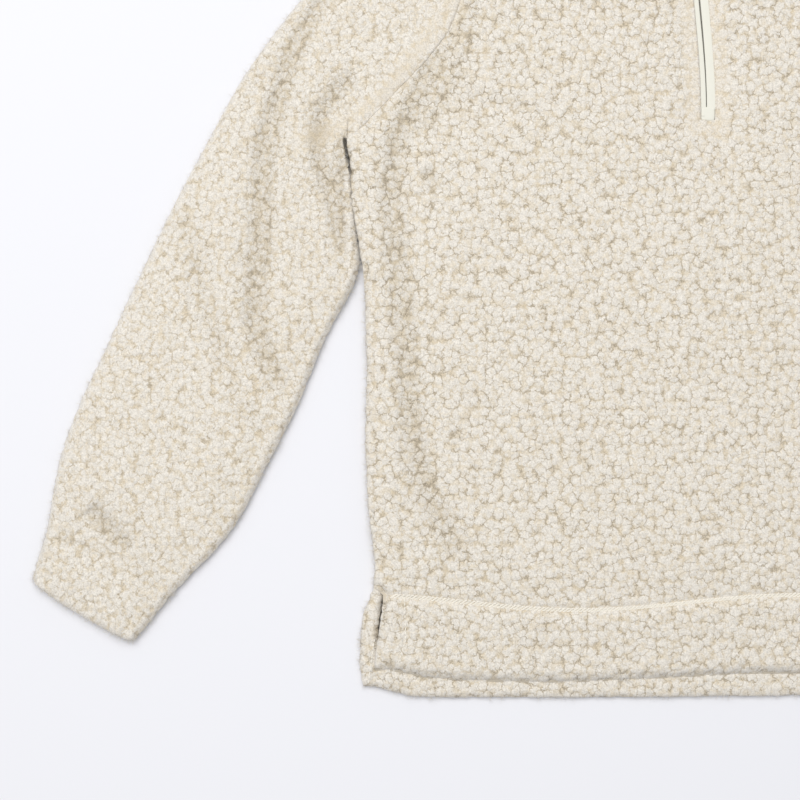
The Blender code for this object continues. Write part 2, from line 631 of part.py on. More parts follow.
def zip_pull(x, y, pivot, metal):
    """The pull: a flat outline with a hole at one end, whose end bar turns under the bridge."""
    curve = bpy.data.curves.new("zip_pull_outline", "CURVE")
    curve.dimensions = "2D"
    curve.fill_mode = "BOTH"
    curve.extrude = PULL_WALL / 2 * MM
    half, bar = PULL_WIDTH / 2, PULL_WALL / 2
    low, high = bar - PULL_LENGTH, bar
    bend = np.radians(np.linspace(180.0, 360.0, 9))
    tip = [(half * np.cos(t), low + half + half * np.sin(t)) for t in bend]
    outline = tip + [(half, high), (-half, high)]
    hole_x, hole_low = PULL_HOLE[0] / 2, -bar - PULL_HOLE[1]
    hole = [(-hole_x, hole_low), (-hole_x, -bar), (hole_x, -bar), (hole_x, hole_low)]
    for points in (outline, hole):
        line = curve.splines.new("POLY")
        line.points.add(len(points) - 1)
        for point, (px, py) in zip(line.points, points):
            point.co = (px * MM, py * MM, 0.0, 1.0)
        line.use_cyclic_u = True
    guide = bpy.data.objects.new("zip_pull_outline", curve)
    bpy.data.collections[COLLECTION].objects.link(guide)
    bpy.context.view_layer.update()
    mesh = bpy.data.meshes.new_from_object(guide.evaluated_get(bpy.context.evaluated_depsgraph_get()))
    bpy.data.objects.remove(guide)
    shape = bmesh.new()
    shape.from_mesh(mesh)
    bmesh.ops.remove_doubles(shape, verts=shape.verts, dist=1e-6)
    shape.to_mesh(mesh)
    shape.free()
    mesh.materials.clear()
    pull = finish("zip_pull", mesh, metal)
    pull.location = (x * MM, y * MM, pivot * MM)
    return pull


def build():
    """Clear the scene and make every piece."""
    for old in list(bpy.data.objects):
        bpy.data.objects.remove(old)
    for name in (COLLECTION, CUTTERS):
        made = bpy.data.collections.new(name)
        bpy.context.scene.collection.children.link(made)
    back_panel()
    front_panel()
    sleeves()
    collar()
    zip_tape("zip_tape_right", -1.0)
    zip_tape("zip_tape_left", 1.0)
    zip_end()
    slider_and_pull()


build()
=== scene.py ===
"""Sherpa fleece pullover with a quarter zip, laid flat: its cloth and pile, sewing, zip, floor and light.

Lengths in the tables are millimetres in the garment's own plan: x from the centre front, where the
wearer's right is negative, and y up from the hem. The mesh has them in metres about the middle.
"""

import json
from collections import namedtuple

import bpy
import numpy as np
from bpy.props import FloatProperty, FloatVectorProperty, PointerProperty
from bpy.types import Operator, Panel, PropertyGroup
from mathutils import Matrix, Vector

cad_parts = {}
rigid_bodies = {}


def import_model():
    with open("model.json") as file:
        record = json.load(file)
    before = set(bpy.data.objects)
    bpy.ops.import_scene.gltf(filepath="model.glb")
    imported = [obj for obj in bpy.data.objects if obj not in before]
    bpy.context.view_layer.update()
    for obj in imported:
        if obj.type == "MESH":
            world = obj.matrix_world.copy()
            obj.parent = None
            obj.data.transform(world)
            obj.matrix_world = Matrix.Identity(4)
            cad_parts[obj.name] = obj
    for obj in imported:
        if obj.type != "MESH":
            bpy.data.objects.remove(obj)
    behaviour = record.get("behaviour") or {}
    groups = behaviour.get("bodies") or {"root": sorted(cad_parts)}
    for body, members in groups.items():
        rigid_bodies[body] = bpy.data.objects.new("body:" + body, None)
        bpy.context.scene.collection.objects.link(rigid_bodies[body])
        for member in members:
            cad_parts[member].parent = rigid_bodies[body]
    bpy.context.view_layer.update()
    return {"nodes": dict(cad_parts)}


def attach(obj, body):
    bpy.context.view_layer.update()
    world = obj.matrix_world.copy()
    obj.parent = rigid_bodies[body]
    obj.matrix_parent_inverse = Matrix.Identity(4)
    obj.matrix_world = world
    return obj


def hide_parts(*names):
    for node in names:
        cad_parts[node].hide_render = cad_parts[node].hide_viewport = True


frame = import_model()

bl_info = {
    "name": "Sherpa Fleece Pullover",
    "version": (1, 0, 0),
    "blender": (4, 5, 0),
    "location": "3D View > Sidebar > Pullover",
    "description": "Builds a sherpa fleece quarter zip pullover, laid flat on a pale floor",
    "category": "Add Mesh",
}

MM = 0.001

# Plan of the garment
VENT_TOP_Y = 80.0
UNDERARM_Y = 446.0
SHOULDER_Y = 648.0
NECK_POINT_Y = 690.0
FRONT_NECK_Y = 610.0
BACK_NECK_Y = 674.0
COLLAR_FRONT_TOP_Y = 684.0
COLLAR_BACK_TOP_Y = 746.0
COLLAR_SIDE_TOP_Y = 752.0
BACK_HEM_Y = -1.2
MIDDLE_Y = (BACK_HEM_Y + COLLAR_SIDE_TOP_Y) / 2
FRONT_NECK_BEND = 2.2
BACK_NECK_BEND = 2.0
SHOULDER_X = 204.0
NECK_POINT_X = 88.0
COLLAR_TOP_X = 85.0

# The cloth and how it lies
SEAM_GAP = 0.3
HEM_WALL = 7.0
TUBE_SLIT = 0.6
PLUMP = 2.1
PLUMP_REACH = 30.0
EDGE_FADE = 10.0
MOST_LIFT = 3.3
CREASE_FADE = 0.14
FREE_EDGE = 0.3
HEM_EDGE = -0.35
SEWN_EDGE = 0.88
BACK_SIDE_EDGE = 0.95
WRAPPED_EDGE = 0.4
SIDE_BULGE = 0.2
UNDERARM_COVER = 4.5
EDGE_ROUND = 7.0
HEM_ROUND = 10.0
RIM_RELIEF = 0.6
UNDERSIDE_ROUND = 0.1
HEM_STITCH_Y = 75.5
STITCH_DEPTH = 2.4
STITCH_HALF_WIDTH = 3.5
STITCH_NAP_WIDTH = 2.3
STITCH_PRESSED = 0.85
HEM_CLEARANCE = 0.7
HEM_CLEAR_HALF_WIDTH = 25.0
ARMHOLE_PRESS = 3.0
SLEEVE_END_PRESS = 1.0
CUFF_START_PRESS = 2.0
CUFF_END_PRESS = 3.6
COLLAR_PRESS = 2.2
CUFF_SEAM_BOW = -9.0
CUFF_END_BOW = 4.0
CUFF_CORNER = 3.0
ROUNDED_BOW = 0.36
CUFF_SEAM_STEP = (-1.0, 3.4, -2.2, 2.8)
ARMHOLE_STEP = (-3.2, -1.8)
UNDERARM_TUCK = (1.4, -3.0)
START_FADE = 0.4
UNDERARM_FADE = 0.15
END_NAP = 0.45
END_NAP_WIDTH = 9.0
VENT_EASE = (77.0, 83.0)

# Where the back shows, below the front and at the vents
BACK_SHOWS_BELOW = 28.0
BACK_SHOWS_BESIDE = 240.0
BACK_SHOWS_UP_TO = 112.0
SHOWN_FADE = 14.0

# Sewing and loose fibres
STITCH_PITCH = 3.3
STITCH_LENGTH = 3.0
THREAD_RADIUS = 0.5
HEM_ROWS = (-1.15, -0.4, 0.35, 1.1)
FIBRE_RADIUS = 0.17
FIBRE_LENGTH = (2.0, 4.6)
FIBRES = {"front_cloth": 2800, "sleeve_cloth_right": 2400, "sleeve_cloth_left": 2400, "cuff_cloth_right": 500,
          "cuff_cloth_left": 500, "back_cloth": 900, "collar_cloth": 700}

# The zip
SLOT_HALF = 6.1
SLOT_END_Y = 462.0
TAPE_END_Y = 472.0
TAPE_TOP_Y = 681.0
TAPE_GAP = (0.3, 0.62)
TAPE_EDGE = SLOT_HALF + 1.2
SLOT_LAP = 1.6
SLOT_BACK = -0.7
SLOT_SINK = (0.7, 1.5)
TAPE_Z = 10.2
TAB_Y = (461.0, 472.6)
TAB_X = 0.9
TAB_HALF = 5.9
TAB_TAPER = 0.8
TAB_Z = TAPE_Z - 1.2
TAB_RISE = 1.6
TAB_SINK = 1.0
TAB_POINTS = 25
COIL_PITCH = 1.4
COIL_RADIUS = 0.9
COIL_ASIDE = 0.7
COIL_WIRE = 0.28
COIL_Z = 6.9
TAPE_WALL = 2.0
ZIP_LEAN = -10.0
ZIP_LEAN_START_Y = 470.0
ZIP_LEAN_LENGTH = 160.0
SURROUND_HALF = 17.0
SURROUND_END_Y = 449.0
SURROUND_FADE = 20.0
SURROUND_PRESSED = 0.6

# Half widths of the body: the height y, the front's and the back's
SIDES = (
    (0, 266, 275), (20, 264.5, 278), (46, 261.5, 277), (62, 260, 275), (75, 258.5, 270), (80.5, 266.5, 266),
    (101, 265, 264), (152, 271, 269.5), (197, 273, 272), (262, 271.6, 270.5), (321, 273.4, 272.4),
    (342, 275, 274), (370, 279.5, 278), (394, 283.5, 281.5), (425, 286.5, 284), (446, 291, 287),
    (470, 267, 267), (496, 242, 242), (522, 217, 217), (546, 202, 202), (580, 195, 195), (648, 204, 204),
)
SIDE_Y, FRONT_HALF, BACK_HALF = zip(*SIDES)

# Sections across a sleeve from the shoulder to the cuff's seam: outer x and y, inner x and y
SLEEVE = (
    (204, 648, 291, 446), (252, 631, 291, 441), (298, 593, 287.6, 427), (338, 543, 285.3, 410),
    (371, 496, 283.2, 392), (402, 440, 281, 370), (430, 387, 280.5, 337), (455, 335, 305, 289),
    (478, 286, 330, 230), (500, 239, 355, 181), (518, 190, 383, 131), (528, 134, 429.5, 81.5),
)
CUFF = ((528, 134, 429.5, 81.5), (540.6, 92.9, 459.5, 44.3))

# Troughs (negative height) and ridges, each along a line of points
Fold = namedtuple("Fold", "width height points")
BODY_FOLDS = (
    Fold(13, -2.8, ((-214, 520), (-246, 425), (-250, 350), (-240, 270), (-236, 180), (-212, 120))),
    Fold(9, -1.4, ((-205, 478), (-168, 474), (-137, 464))),
    Fold(15, 1.0, ((-262, 400), (-261, 250), (-254, 140))),
    Fold(16, 0.9, ((-190, 440), (-205, 300), (-196, 190))),
    Fold(14, -2.5, ((212, 528), (243, 440), (240, 340), (226, 262), (230, 205))),
    Fold(10, -1.6, ((196, 470), (150, 452), (118, 455))),
    Fold(15, 1.1, ((200, 400), (190, 300), (204, 230))),
)
RIGHT_SLEEVE_FOLDS = (
    Fold(10, -3.0, ((-326, 520), (-351, 450), (-361, 385), (-363, 310), (-356, 262))),
    Fold(12, -2.0, ((-408, 366), (-396, 302), (-380, 240))),
    Fold(14, 1.2, ((-380, 420), (-388, 350), (-376, 280))),
    Fold(9, -2.2, ((-270, 486), (-303, 466), (-308, 430), (-300, 380))),
    Fold(8, -2.4, ((-500, 150), (-478, 128))),
)
LEFT_SLEEVE_FOLDS = (
    Fold(11, -2.8, ((318, 530), (342, 466), (356, 400), (352, 330))),
    Fold(12, -2.2, ((420, 352), (400, 296), (398, 236))),
    Fold(13, 1.1, ((384, 410), (380, 340), (392, 262))),
    Fold(9, -2.1, ((268, 492), (300, 472), (306, 440))),
    Fold(9, -2.0, ((476, 160), (462, 126))),
)

# Creases that press the pile alone, where the cloth has bunched or been sat on; their depth also sets the
# shade painted into the pile's colour
BODY_CREASES = (
    Fold(11, -2.7, ((-194, 640), (-204, 560), (-226, 490), (-245, 455), (-253, 410), (-248, 350), (-240, 286),
                    (-236, 214), (-224, 160), (-200, 118), (-160, 92))),
    Fold(8, -1.6, ((-188, 600), (-190, 520), (-214, 468), (-236, 440))),
    Fold(6, -2.4, ((-226, 424), (-221, 414), (-218, 402))),
    Fold(6, -1.0, ((-205, 483), (-166, 474), (-127, 466))),
    Fold(11, -2.8, ((192, 640), (204, 560), (222, 500), (240, 440), (242, 340), (230, 262), (228, 190),
                    (214, 120))),
)
RIGHT_SLEEVE_CREASES = (
    Fold(9, -3.4, ((-290, 600), (-318, 542), (-336, 505), (-353, 446), (-357, 358), (-362, 302), (-350, 262),
                    (-328, 226))),
    Fold(9, -1.3, ((-440, 420), (-420, 384), (-397, 302), (-376, 240), (-352, 196))),
    Fold(8, -3.0, ((-272, 500), (-292, 490), (-309, 470), (-312, 440), (-298, 390), (-284, 350))),
    Fold(6, -2.2, ((-296, 456), (-292, 432), (-289, 400), (-287, 366), (-282, 330))),
    Fold(9, -3.0, ((-496, 154), (-478, 134), (-462, 114))),
    Fold(5, -2.0, ((-560, 140), (-528, 130), (-498, 121), (-468, 112), (-430, 78), (-400, 50))),
)
LEFT_SLEEVE_CREASES = (
    Fold(9, -3.2, ((292, 596), (322, 530), (346, 466), (358, 400), (354, 330), (340, 270))),
    Fold(10, -1.5, ((436, 400), (418, 352), (400, 296), (392, 216))),
    Fold(8, -2.2, ((268, 496), (296, 482), (308, 446), (298, 390))),
    Fold(6, -2.0, ((296, 456), (292, 432), (289, 400), (287, 366), (282, 330))),
    Fold(8, -2.6, ((480, 168), (470, 146), (462, 122))),
    Fold(5, -2.0, ((560, 142), (528, 131), (490, 116), (428, 78), (400, 52))),
)
# Shade painted nearly black into the pile's colour at the underarm, on the wearer's right, where hardly any
# light gets in
UNDERARM_SHADE = (Fold(2.3, 2.1, ((-291.2, 454), (-289.6, 445), (-288, 439), (-287, 432), (-284.6, 412))),)
# Narrow grooves and ridges of the vents' sewing and turned edges, mirrored to both sides
FRONT_GROOVES = (Fold(2.4, -1.5, ((-242, 79), (-241, 46), (-247, 27))),)
BACK_GROOVES = (
    Fold(2.6, -5.6, ((-256, 96), (-260, 70), (-263, 44), (-266, 26))),
    Fold(1.8, 1.4, ((-266, 46), (-271, 10))),
)
# Shade painted nearly black into the pile's colour in the vents' slits, where hardly any light gets in,
# mirrored to both sides
BACK_SLIT_SHADE = (Fold(2.0, 2.4, ((-255.5, 104), (-259.8, 74), (-263, 46), (-263.5, 38))),)
# Where the front comes down to the back over each vent
VENT_TOP = (Fold(7.0, -5.0, ((-280, 84), (-270, 84), (-263, 81.5), (-252, 80))),)
# Where the pile lies flat along the armhole's seam, on the wearer's right
ARMHOLE_BAND = ((-322, 446), (-300, 452), (-254, 486), (-216, 540), (-202, 560), (-196, 600), (-204, 648))
ARMHOLE_BAND_HALF = 9.0

# The pile's height that lies on the cloth's own surface
LEVEL = 0.5

# The depth of a crease at which the shade painted along it is full
FULL_SHADE_DEPTH = 2.6

# Where the sleeves' and the collar's plans start in the pattern
SLEEVE_SHIFT = (0.07, 0.31)
COLLAR_PLAN_Y = 900.0

# The hidden side of each wall has one vertex for this many of the pile's
COARSE = 4

# Cells of the panels' grids: across, up to the stitching, over it, up to the underarm, and at the zip's slot
FRONT_CELLS = 272
BACK_CELLS = 136
FRONT_HEM_CELLS = 30
STITCH_CELLS = 4
FRONT_BODY_CELLS = 182
TO_SLOT_CELLS = 8
SLOT_CELLS = 8
BESIDE_SLOT_CELLS = 92
BACK_HEM_CELLS = 36
BACK_BODY_CELLS = 48
BACK_ARMHOLE_CELLS = 28

# The floor in metres, just under the cloth
FLOOR_HALF = 3.0
FLOOR_DEPTH = 0.0004

# Kinds of node and settings that the materials share
MATH = "ShaderNodeMath"
VECTOR = "ShaderNodeVectorMath"
NOISE = "ShaderNodeTexNoise"
RANGE = "ShaderNodeMapRange"
EASED = {"interpolation_type": "SMOOTHSTEP"}
FLAT = {"noise_dimensions": "2D"}

# Pile of a piece: widths of its curls and crumbs in mm, depth of its cracks, how patchy they are, relief
Pile = namedtuple("Pile", "curl crumb crack patch relief")
BODY_PILE = Pile(6.8, 2.9, 1.0, 9.0, 1.0)
SLEEVE_PILE = Pile(5.6, 2.5, 0.55, 8.0, 0.7)


def linear(code):
    """Linear colour of an sRGB hex code."""
    parts = np.array([int(code[k:k + 2], 16) for k in (1, 3, 5)]) / 255.0
    return tuple(np.where(parts <= 0.04045, parts / 12.92, ((parts + 0.055) / 1.055) ** 2.4))


def length(name, description, default, least=0.0, most=1.0):
    """A length property in metres."""
    return FloatProperty(name=name, description=description, default=default, min=least, max=most,
                         subtype="DISTANCE", unit="LENGTH", precision=4)


def colour(name, description, code):
    """A colour property, given by its sRGB hex code."""
    return FloatVectorProperty(name=name, description=description, default=linear(code), size=3,
                               min=0.0, max=1.0, subtype="COLOR")


class PulloverCloth(PropertyGroup):
    """Sizes and colours of the sherpa fleece."""

    wall: length("Cloth thickness", "Knitted backing with its pile, pressed flat", 0.0055, 0.002, 0.02)
    pile: length("Pile relief", "Height from the cracks to the tops of the curls", 0.0018, 0.0, 0.01)
    tip: colour("Curl tops", "Off-white tops of the pile's curls", "#E2DCD1")
    # The pile base and the cracks are darker partly by the fibres' tone and partly by painted shade low in
    # the pile
    base: colour("Pile base", "Warm beige of the pile between the curls", "#CEC1AA")
    crack: colour("Cracks", "Darker lines where the curls part", "#A99D89")
    patch: colour("Warm patches", "Warmer tint where the curls lie flatter", "#D6C6A8")
    backing: colour("Knitted backing", "Smooth inner side of the cloth", "#D3C8B4")


class PulloverZip(PropertyGroup):
    """Colours of the zip and the sewing thread."""

    tape: colour("Zip tape", "Woven cream tape", "#E4E2D5")
    coil: colour("Coil", "Nylon teeth under the tape", "#C9C5B8")
    metal: colour("Slider and pull", "Satin cream enamel on die-cast metal", "#E8E3D4")
    thread: colour("Thread", "Polyester sewing thread", "#F6F1E5")


class PulloverStage(PropertyGroup):
    """Floor, light and camera."""

    floor: colour("Floor", "Pale cool studio board", "#E3E3E6")
    sky: colour("Sky", "Soft light from all round", "#F8F9FD")
    sky_strength: FloatProperty(name="Sky strength", description="Light from all round", default=0.52,
                                min=0.0)
    soft_box: FloatProperty(name="Soft box power", description="Large light above, in watts", default=82.0,
                            min=0.0, unit="POWER")
    view_width: length("View width", "Width that the picture shows at the cloth", 0.640, 0.1, 5.0)
    camera_height: length("Camera height", "Camera's height above the floor", 1.6, 0.3, 10.0)


def smooth(t):
    """Ease from 0 to 1 as t goes from 0 to 1, flat at both ends: 3 t squared less 2 t cubed."""
    t = np.clip(t, 0.0, 1.0)
    return t * t * (3.0 - 2.0 * t)


def slope_over(distance, least):
    """Share of the wall's height at a distance in from an edge: from a low rim up a parabola, t (2 - t)."""
    t = np.clip(distance / EDGE_ROUND, 0.0, 1.0)
    return least + (1.0 - least) * t * (2.0 - t)


def steps_with_edges(cells, edge_cells, edge, run, both=True):
    """Steps from 0 to 1 with edge_cells small cells within the length edge of a run at its ends."""
    share = edge / run
    ends = np.linspace(0.0, share, edge_cells + 1)
    if both:
        middle = np.linspace(share, 1.0 - share, cells - 2 * edge_cells + 1)
        return np.concatenate([ends[:-1], middle, 1.0 - ends[-2::-1]])
    return np.concatenate([ends[:-1], np.linspace(share, 1.0, cells - edge_cells + 1)])


def spline(rows, t):
    """Points on a smooth curve through the rows, at t from 0 to 1.

    Between two rows it is a cubic whose slope at each is half the step between that row's neighbours.
    """
    rows = np.asarray(rows, dtype=float)
    last = len(rows) - 1
    place = np.clip(np.asarray(t, dtype=float), 0.0, 1.0) * last
    k = np.minimum(place.astype(int), last - 1)
    f = (place - k)[..., None]
    before = rows[np.maximum(k - 1, 0)]
    start, end = rows[k], rows[k + 1]
    after = rows[np.minimum(k + 2, last)]
    cubic = 3 * (start - end) + after - before
    return start + 0.5 * f * (end - before + f * (2 * before - 5 * start + 4 * end - after + f * cubic))


def line_distance(points, x, y):
    """Distance of x, y from a line of points, and how far along the line the nearest place is."""
    points = np.asarray(points, dtype=float)
    runs = np.linalg.norm(np.diff(points, axis=0), axis=1)
    nearest = np.full(np.shape(x), np.inf)
    along = np.zeros(np.shape(x))
    passed = 0.0
    for start, end, run in zip(points[:-1], points[1:], runs):
        way = (end - start) / run
        t = np.clip((x - start[0]) * way[0] + (y - start[1]) * way[1], 0.0, run)
        distance = np.hypot(x - start[0] - t * way[0], y - start[1] - t * way[1])
        closer = distance < nearest
        nearest = np.where(closer, distance, nearest)
        along = np.where(closer, (passed + t) / runs.sum(), along)
        passed += run
    return nearest, along


def fold_height(folds, x, y, fade=0.25):
    """Height that the folds add at x, y: exp of -(distance / width) squared, faded at a line's ends."""
    total = np.zeros_like(x)
    for fold in folds:
        nearest, along = line_distance(fold.points, x, y)
        ends = smooth(along / fade) * smooth((1.0 - along) / fade)
        total += fold.height * ends * np.exp(-((nearest / fold.width) ** 2))
    return total


def flattened(x, y):
    """Share of the pile's height left along the armholes' seams, where it lies flat."""
    distance, _ = line_distance(ARMHOLE_BAND, -np.abs(x), y)
    return 1.0 - 0.75 * np.exp(-((distance / ARMHOLE_BAND_HALF) ** 2))


def zip_x(y):
    """The zip's centre line, which leans over as it rises."""
    return ZIP_LEAN * smooth((y - ZIP_LEAN_START_Y) / ZIP_LEAN_LENGTH)


def hem_stitch_y(x):
    """The line that holds the turned-up hem, a shallow wave."""
    return HEM_STITCH_Y - 6.0 * np.cos(2 * np.pi * (x + 105.0) / 350.0)


def front_hem_y(x):
    """Lower edge of the front, lifted a little at the vents."""
    return 14.5 - 3.6 * np.cos(2 * np.pi * (x + 133.0) / 400.0) + 4.5 * smooth((np.abs(x) - 215.0) / 40.0)


def back_hem_y(x):
    """Lower edge of the back, which hangs below the front."""
    return BACK_HEM_Y + 2.5 * smooth((x + 150.0) / 400.0) + 9.0 * smooth((np.abs(x) - 225.0) / 50.0)


def shoulder_y(x, neck_y, bend):
    """Upper edge of a panel: the shoulder's slope, and the neckline inside the neck points."""
    across = np.abs(x)
    slope = (NECK_POINT_Y - SHOULDER_Y) / (SHOULDER_X - NECK_POINT_X)
    shoulder = NECK_POINT_Y - (np.clip(across, NECK_POINT_X, SHOULDER_X) - NECK_POINT_X) * slope
    neck = neck_y + (NECK_POINT_Y - neck_y) * (np.minimum(across, NECK_POINT_X) / NECK_POINT_X) ** bend
    return np.where(across < NECK_POINT_X, neck, shoulder)


def panel_grid(columns, slot_half, halves, hem, neck_y, bend, hem_cells, body_cells, armhole_steps):
    """Plan of a panel: rows from the hem up, each from the wearer's right side to the left."""
    right = -columns[::-1] if slot_half else -columns[:0:-1]
    middle = np.linspace(-1.0, 1.0, SLOT_CELLS + 1)[1:-1] if slot_half else np.zeros(0)
    sign = np.concatenate([np.full(len(right), -1.0), middle, np.ones(len(columns))])
    q = np.abs(np.concatenate([right, 0.0 * middle, columns]))
    rows = []

    def across(edge_y, lean=0.0):
        wide = np.interp(edge_y, SIDE_Y, halves)
        return lean * (1.0 - q) + sign * (slot_half + (wide - slot_half) * q)

    for step in steps_with_edges(hem_cells, 6, 8.0, 62.0, both=False):
        x = across(step * HEM_STITCH_Y)
        low = hem(x)
        rows.append((x, low + (hem_stitch_y(x) - STITCH_HALF_WIDTH - low) * step))
    for beside in np.linspace(-STITCH_HALF_WIDTH, STITCH_HALF_WIDTH, STITCH_CELLS + 1)[1:]:
        x = across(HEM_STITCH_Y + max(beside, 0.0))
        rows.append((x, hem_stitch_y(x) + beside))
    for step in np.arange(1, body_cells + 1) / body_cells:
        x = across(VENT_TOP_Y + (UNDERARM_Y - VENT_TOP_Y) * step)
        low = hem_stitch_y(x) + STITCH_HALF_WIDTH
        rows.append((x, low + (UNDERARM_Y - low) * step))
    for step in armhole_steps:
        lean = zip_x(UNDERARM_Y + (FRONT_NECK_Y - UNDERARM_Y) * step)
        x = across(UNDERARM_Y + (SHOULDER_Y - UNDERARM_Y) * step, lean)
        top = shoulder_y(x - lean * (1.0 - q), neck_y, bend)
        rows.append((x, UNDERARM_Y + (top - UNDERARM_Y) * step))
    return np.array(rows).transpose(1, 0, 2).copy()


def edge_share(x, y, side_edge=FREE_EDGE, hem_edge=FREE_EDGE, hem_round=EDGE_ROUND):
    """Share of the wall's height left by the rounding at a panel's rim, and the distance to the rim."""
    beside = np.minimum(np.abs(x - x[:, :1]), np.abs(x[:, -1:] - x))
    least = np.interp(y[:, :1], VENT_EASE, (FREE_EDGE, side_edge))
    sides = slope_over(beside, least)
    hem = slope_over((y - y[:1]) * EDGE_ROUND / hem_round, hem_edge)
    top = slope_over(y[-1:] - y, SEWN_EDGE)
    return np.minimum(np.minimum(sides, hem), top), np.minimum(beside, y[-1:] - y)


def wall_height(x, y, wall):
    """The cloth's height: thicker where the hem is turned up, pressed in along its stitching."""
    turned = 1.0 - smooth((y - hem_stitch_y(x) + 12.0) / 24.0)
    pressed = STITCH_DEPTH * np.exp(-(((y - hem_stitch_y(x)) / STITCH_HALF_WIDTH) ** 2))
    return wall + (HEM_WALL - wall) * turned, pressed


def lift(folds, x, y, inside):
    """How far the upper cloth stands off what it lies on: plump inside its edges, with the folds."""
    plump = PLUMP * smooth(inside / PLUMP_REACH)
    return np.clip(plump + fold_height(folds, x, y) * smooth(inside / EDGE_FADE), 0.0, MOST_LIFT)


def add(tree, kind, inputs=(), output=0, **settings):
    """Add a node with its settings, give its inputs values or links, and return one of its outputs.

    The inputs are a dictionary, or a row for the node's first ones.
    """
    made = tree.nodes.new(kind)
    for key, value in settings.items():
        setattr(made, key, value)
    for key, value in inputs.items() if isinstance(inputs, dict) else enumerate(inputs):
        if isinstance(value, bpy.types.NodeSocket):
            tree.links.new(value, made.inputs[key])
        else:
            made.inputs[key].default_value = value
    return made.outputs[output]


def pile_height(tree, place, pile):
    """Height of the pile, 0 to 1, at a place in mm.

    Round curls stand on a warped plan with smaller crumbs on them. Along some of the lines where two
    curls meet, which a slow noise picks, they part in a thin crack; more run along a noise's middle level.
    The plan is warped by up to 3.7 mm over 4.4 mm, and the noise's level wanders over 4.6 mm.
    """
    stir = add(tree, NOISE, {"Vector": place, "Scale": 1.0 / 4.4, "Detail": 3.0}, "Color", **FLAT)
    shift = add(tree, VECTOR, (stir, (0.5, 0.5, 0.5)), operation="SUBTRACT")
    moved = add(tree, VECTOR, (shift, (7.4, 7.4, 0.0), place), operation="MULTIPLY_ADD")
    eased = []
    for width, feature, *limits in (
        (pile.curl, "F1", 0.28, 0.86, 0.44, 0.0),
        (pile.crumb, "F1", 0.15, 0.75, 0.17, 0.0),
        (pile.curl, "DISTANCE_TO_EDGE", 0.0, 0.08, 0.46, 0.0),
    ):
        scatter = {"Vector": moved, "Scale": 1.0 / width, "Randomness": 0.9}
        distance = add(tree, "ShaderNodeTexVoronoi", scatter, "Distance", feature=feature,
                       voronoi_dimensions="2D")
        eased.append(add(tree, RANGE, (distance, *limits), **EASED))
    curl, crumb, parting = eased
    slow = add(tree, NOISE, {"Vector": place, "Scale": 1.0 / pile.patch, "Detail": 1.0}, "Fac", **FLAT)
    picked = add(tree, RANGE, (slow, 0.38, 0.56, 0.25, pile.crack), **EASED)
    crack = add(tree, MATH, (parting, picked), operation="MULTIPLY")
    yarn = add(tree, NOISE, {"Vector": moved, "Scale": 1.0 / 4.6, "Detail": 2.0}, "Fac", **FLAT)
    level = add(tree, MATH, (yarn, 0.5), operation="SUBTRACT")
    level = add(tree, MATH, (level,), operation="ABSOLUTE")
    wander = add(tree, RANGE, (level, 0.0, 0.03, 0.26, 0.0), **EASED)
    crack = add(tree, MATH, (crack, wander), operation="ADD")
    whole = add(tree, MATH, (curl, crumb), operation="ADD")
    whole = add(tree, MATH, (whole, 0.30), operation="ADD")
    return add(tree, MATH, (whole, crack), operation="SUBTRACT", use_clamp=True)


def pile_at(uv, pile):
    """The pile's height at places in metres, read from Geometry Nodes so that it agrees with the material."""
    tree = bpy.data.node_groups.new("pile_reader", "GeometryNodeTree")
    for way in ("INPUT", "OUTPUT"):
        tree.interface.new_socket("Geometry", in_out=way, socket_type="NodeSocketGeometry")
    where = add(tree, VECTOR, {0: add(tree, "GeometryNodeInputPosition"), 3: 1.0 / MM}, operation="SCALE")
    height = pile_height(tree, where, pile)
    stored = add(tree, "GeometryNodeStoreNamedAttribute",
                 {"Geometry": add(tree, "NodeGroupInput"), "Name": "pile", "Value": height})
    tree.links.new(stored, tree.nodes.new("NodeGroupOutput").inputs[0])
    flat = uv.reshape(-1, 2)
    mesh = bpy.data.meshes.new("pile_reader")
    mesh.vertices.add(len(flat))
    mesh.vertices.foreach_set("co", np.column_stack([flat, np.zeros(len(flat))]).ravel())
    reader = bpy.data.objects.new("pile_reader", mesh)
    bpy.context.scene.collection.objects.link(reader)
    reader.modifiers.new("pile_reader", "NODES").node_group = tree
    evaluated = reader.evaluated_get(bpy.context.evaluated_depsgraph_get())
    height = np.zeros(len(flat), dtype=np.float32)
    evaluated.data.attributes["pile"].data.foreach_get("value", height)
    bpy.data.objects.remove(reader)
    bpy.data.meshes.remove(mesh)
    bpy.data.node_groups.remove(tree)
    return height.reshape(uv.shape[:-1]).astype(float)


def new_material(name, sockets):
    """A material with these values on its shader's sockets, and its node tree."""
    material = bpy.data.materials.new(name)
    material.use_nodes = True
    tree = material.node_tree
    for socket, value in sockets.items():
        tree.nodes["Principled BSDF"].inputs[socket].default_value = value
    return material, tree


def surface(tree, colour, height, distance, strength):
    """Give the shader a colour, and a bump of this height, whose whole range is the distance in metres."""
    shader = tree.nodes["Principled BSDF"]
    bump = {"Height": height, "Distance": distance, "Strength": strength}
    relief = add(tree, "ShaderNodeBump", bump, "Normal")
    tree.links.new(colour, shader.inputs["Base Color"])
    tree.links.new(relief, shader.inputs["Normal"])


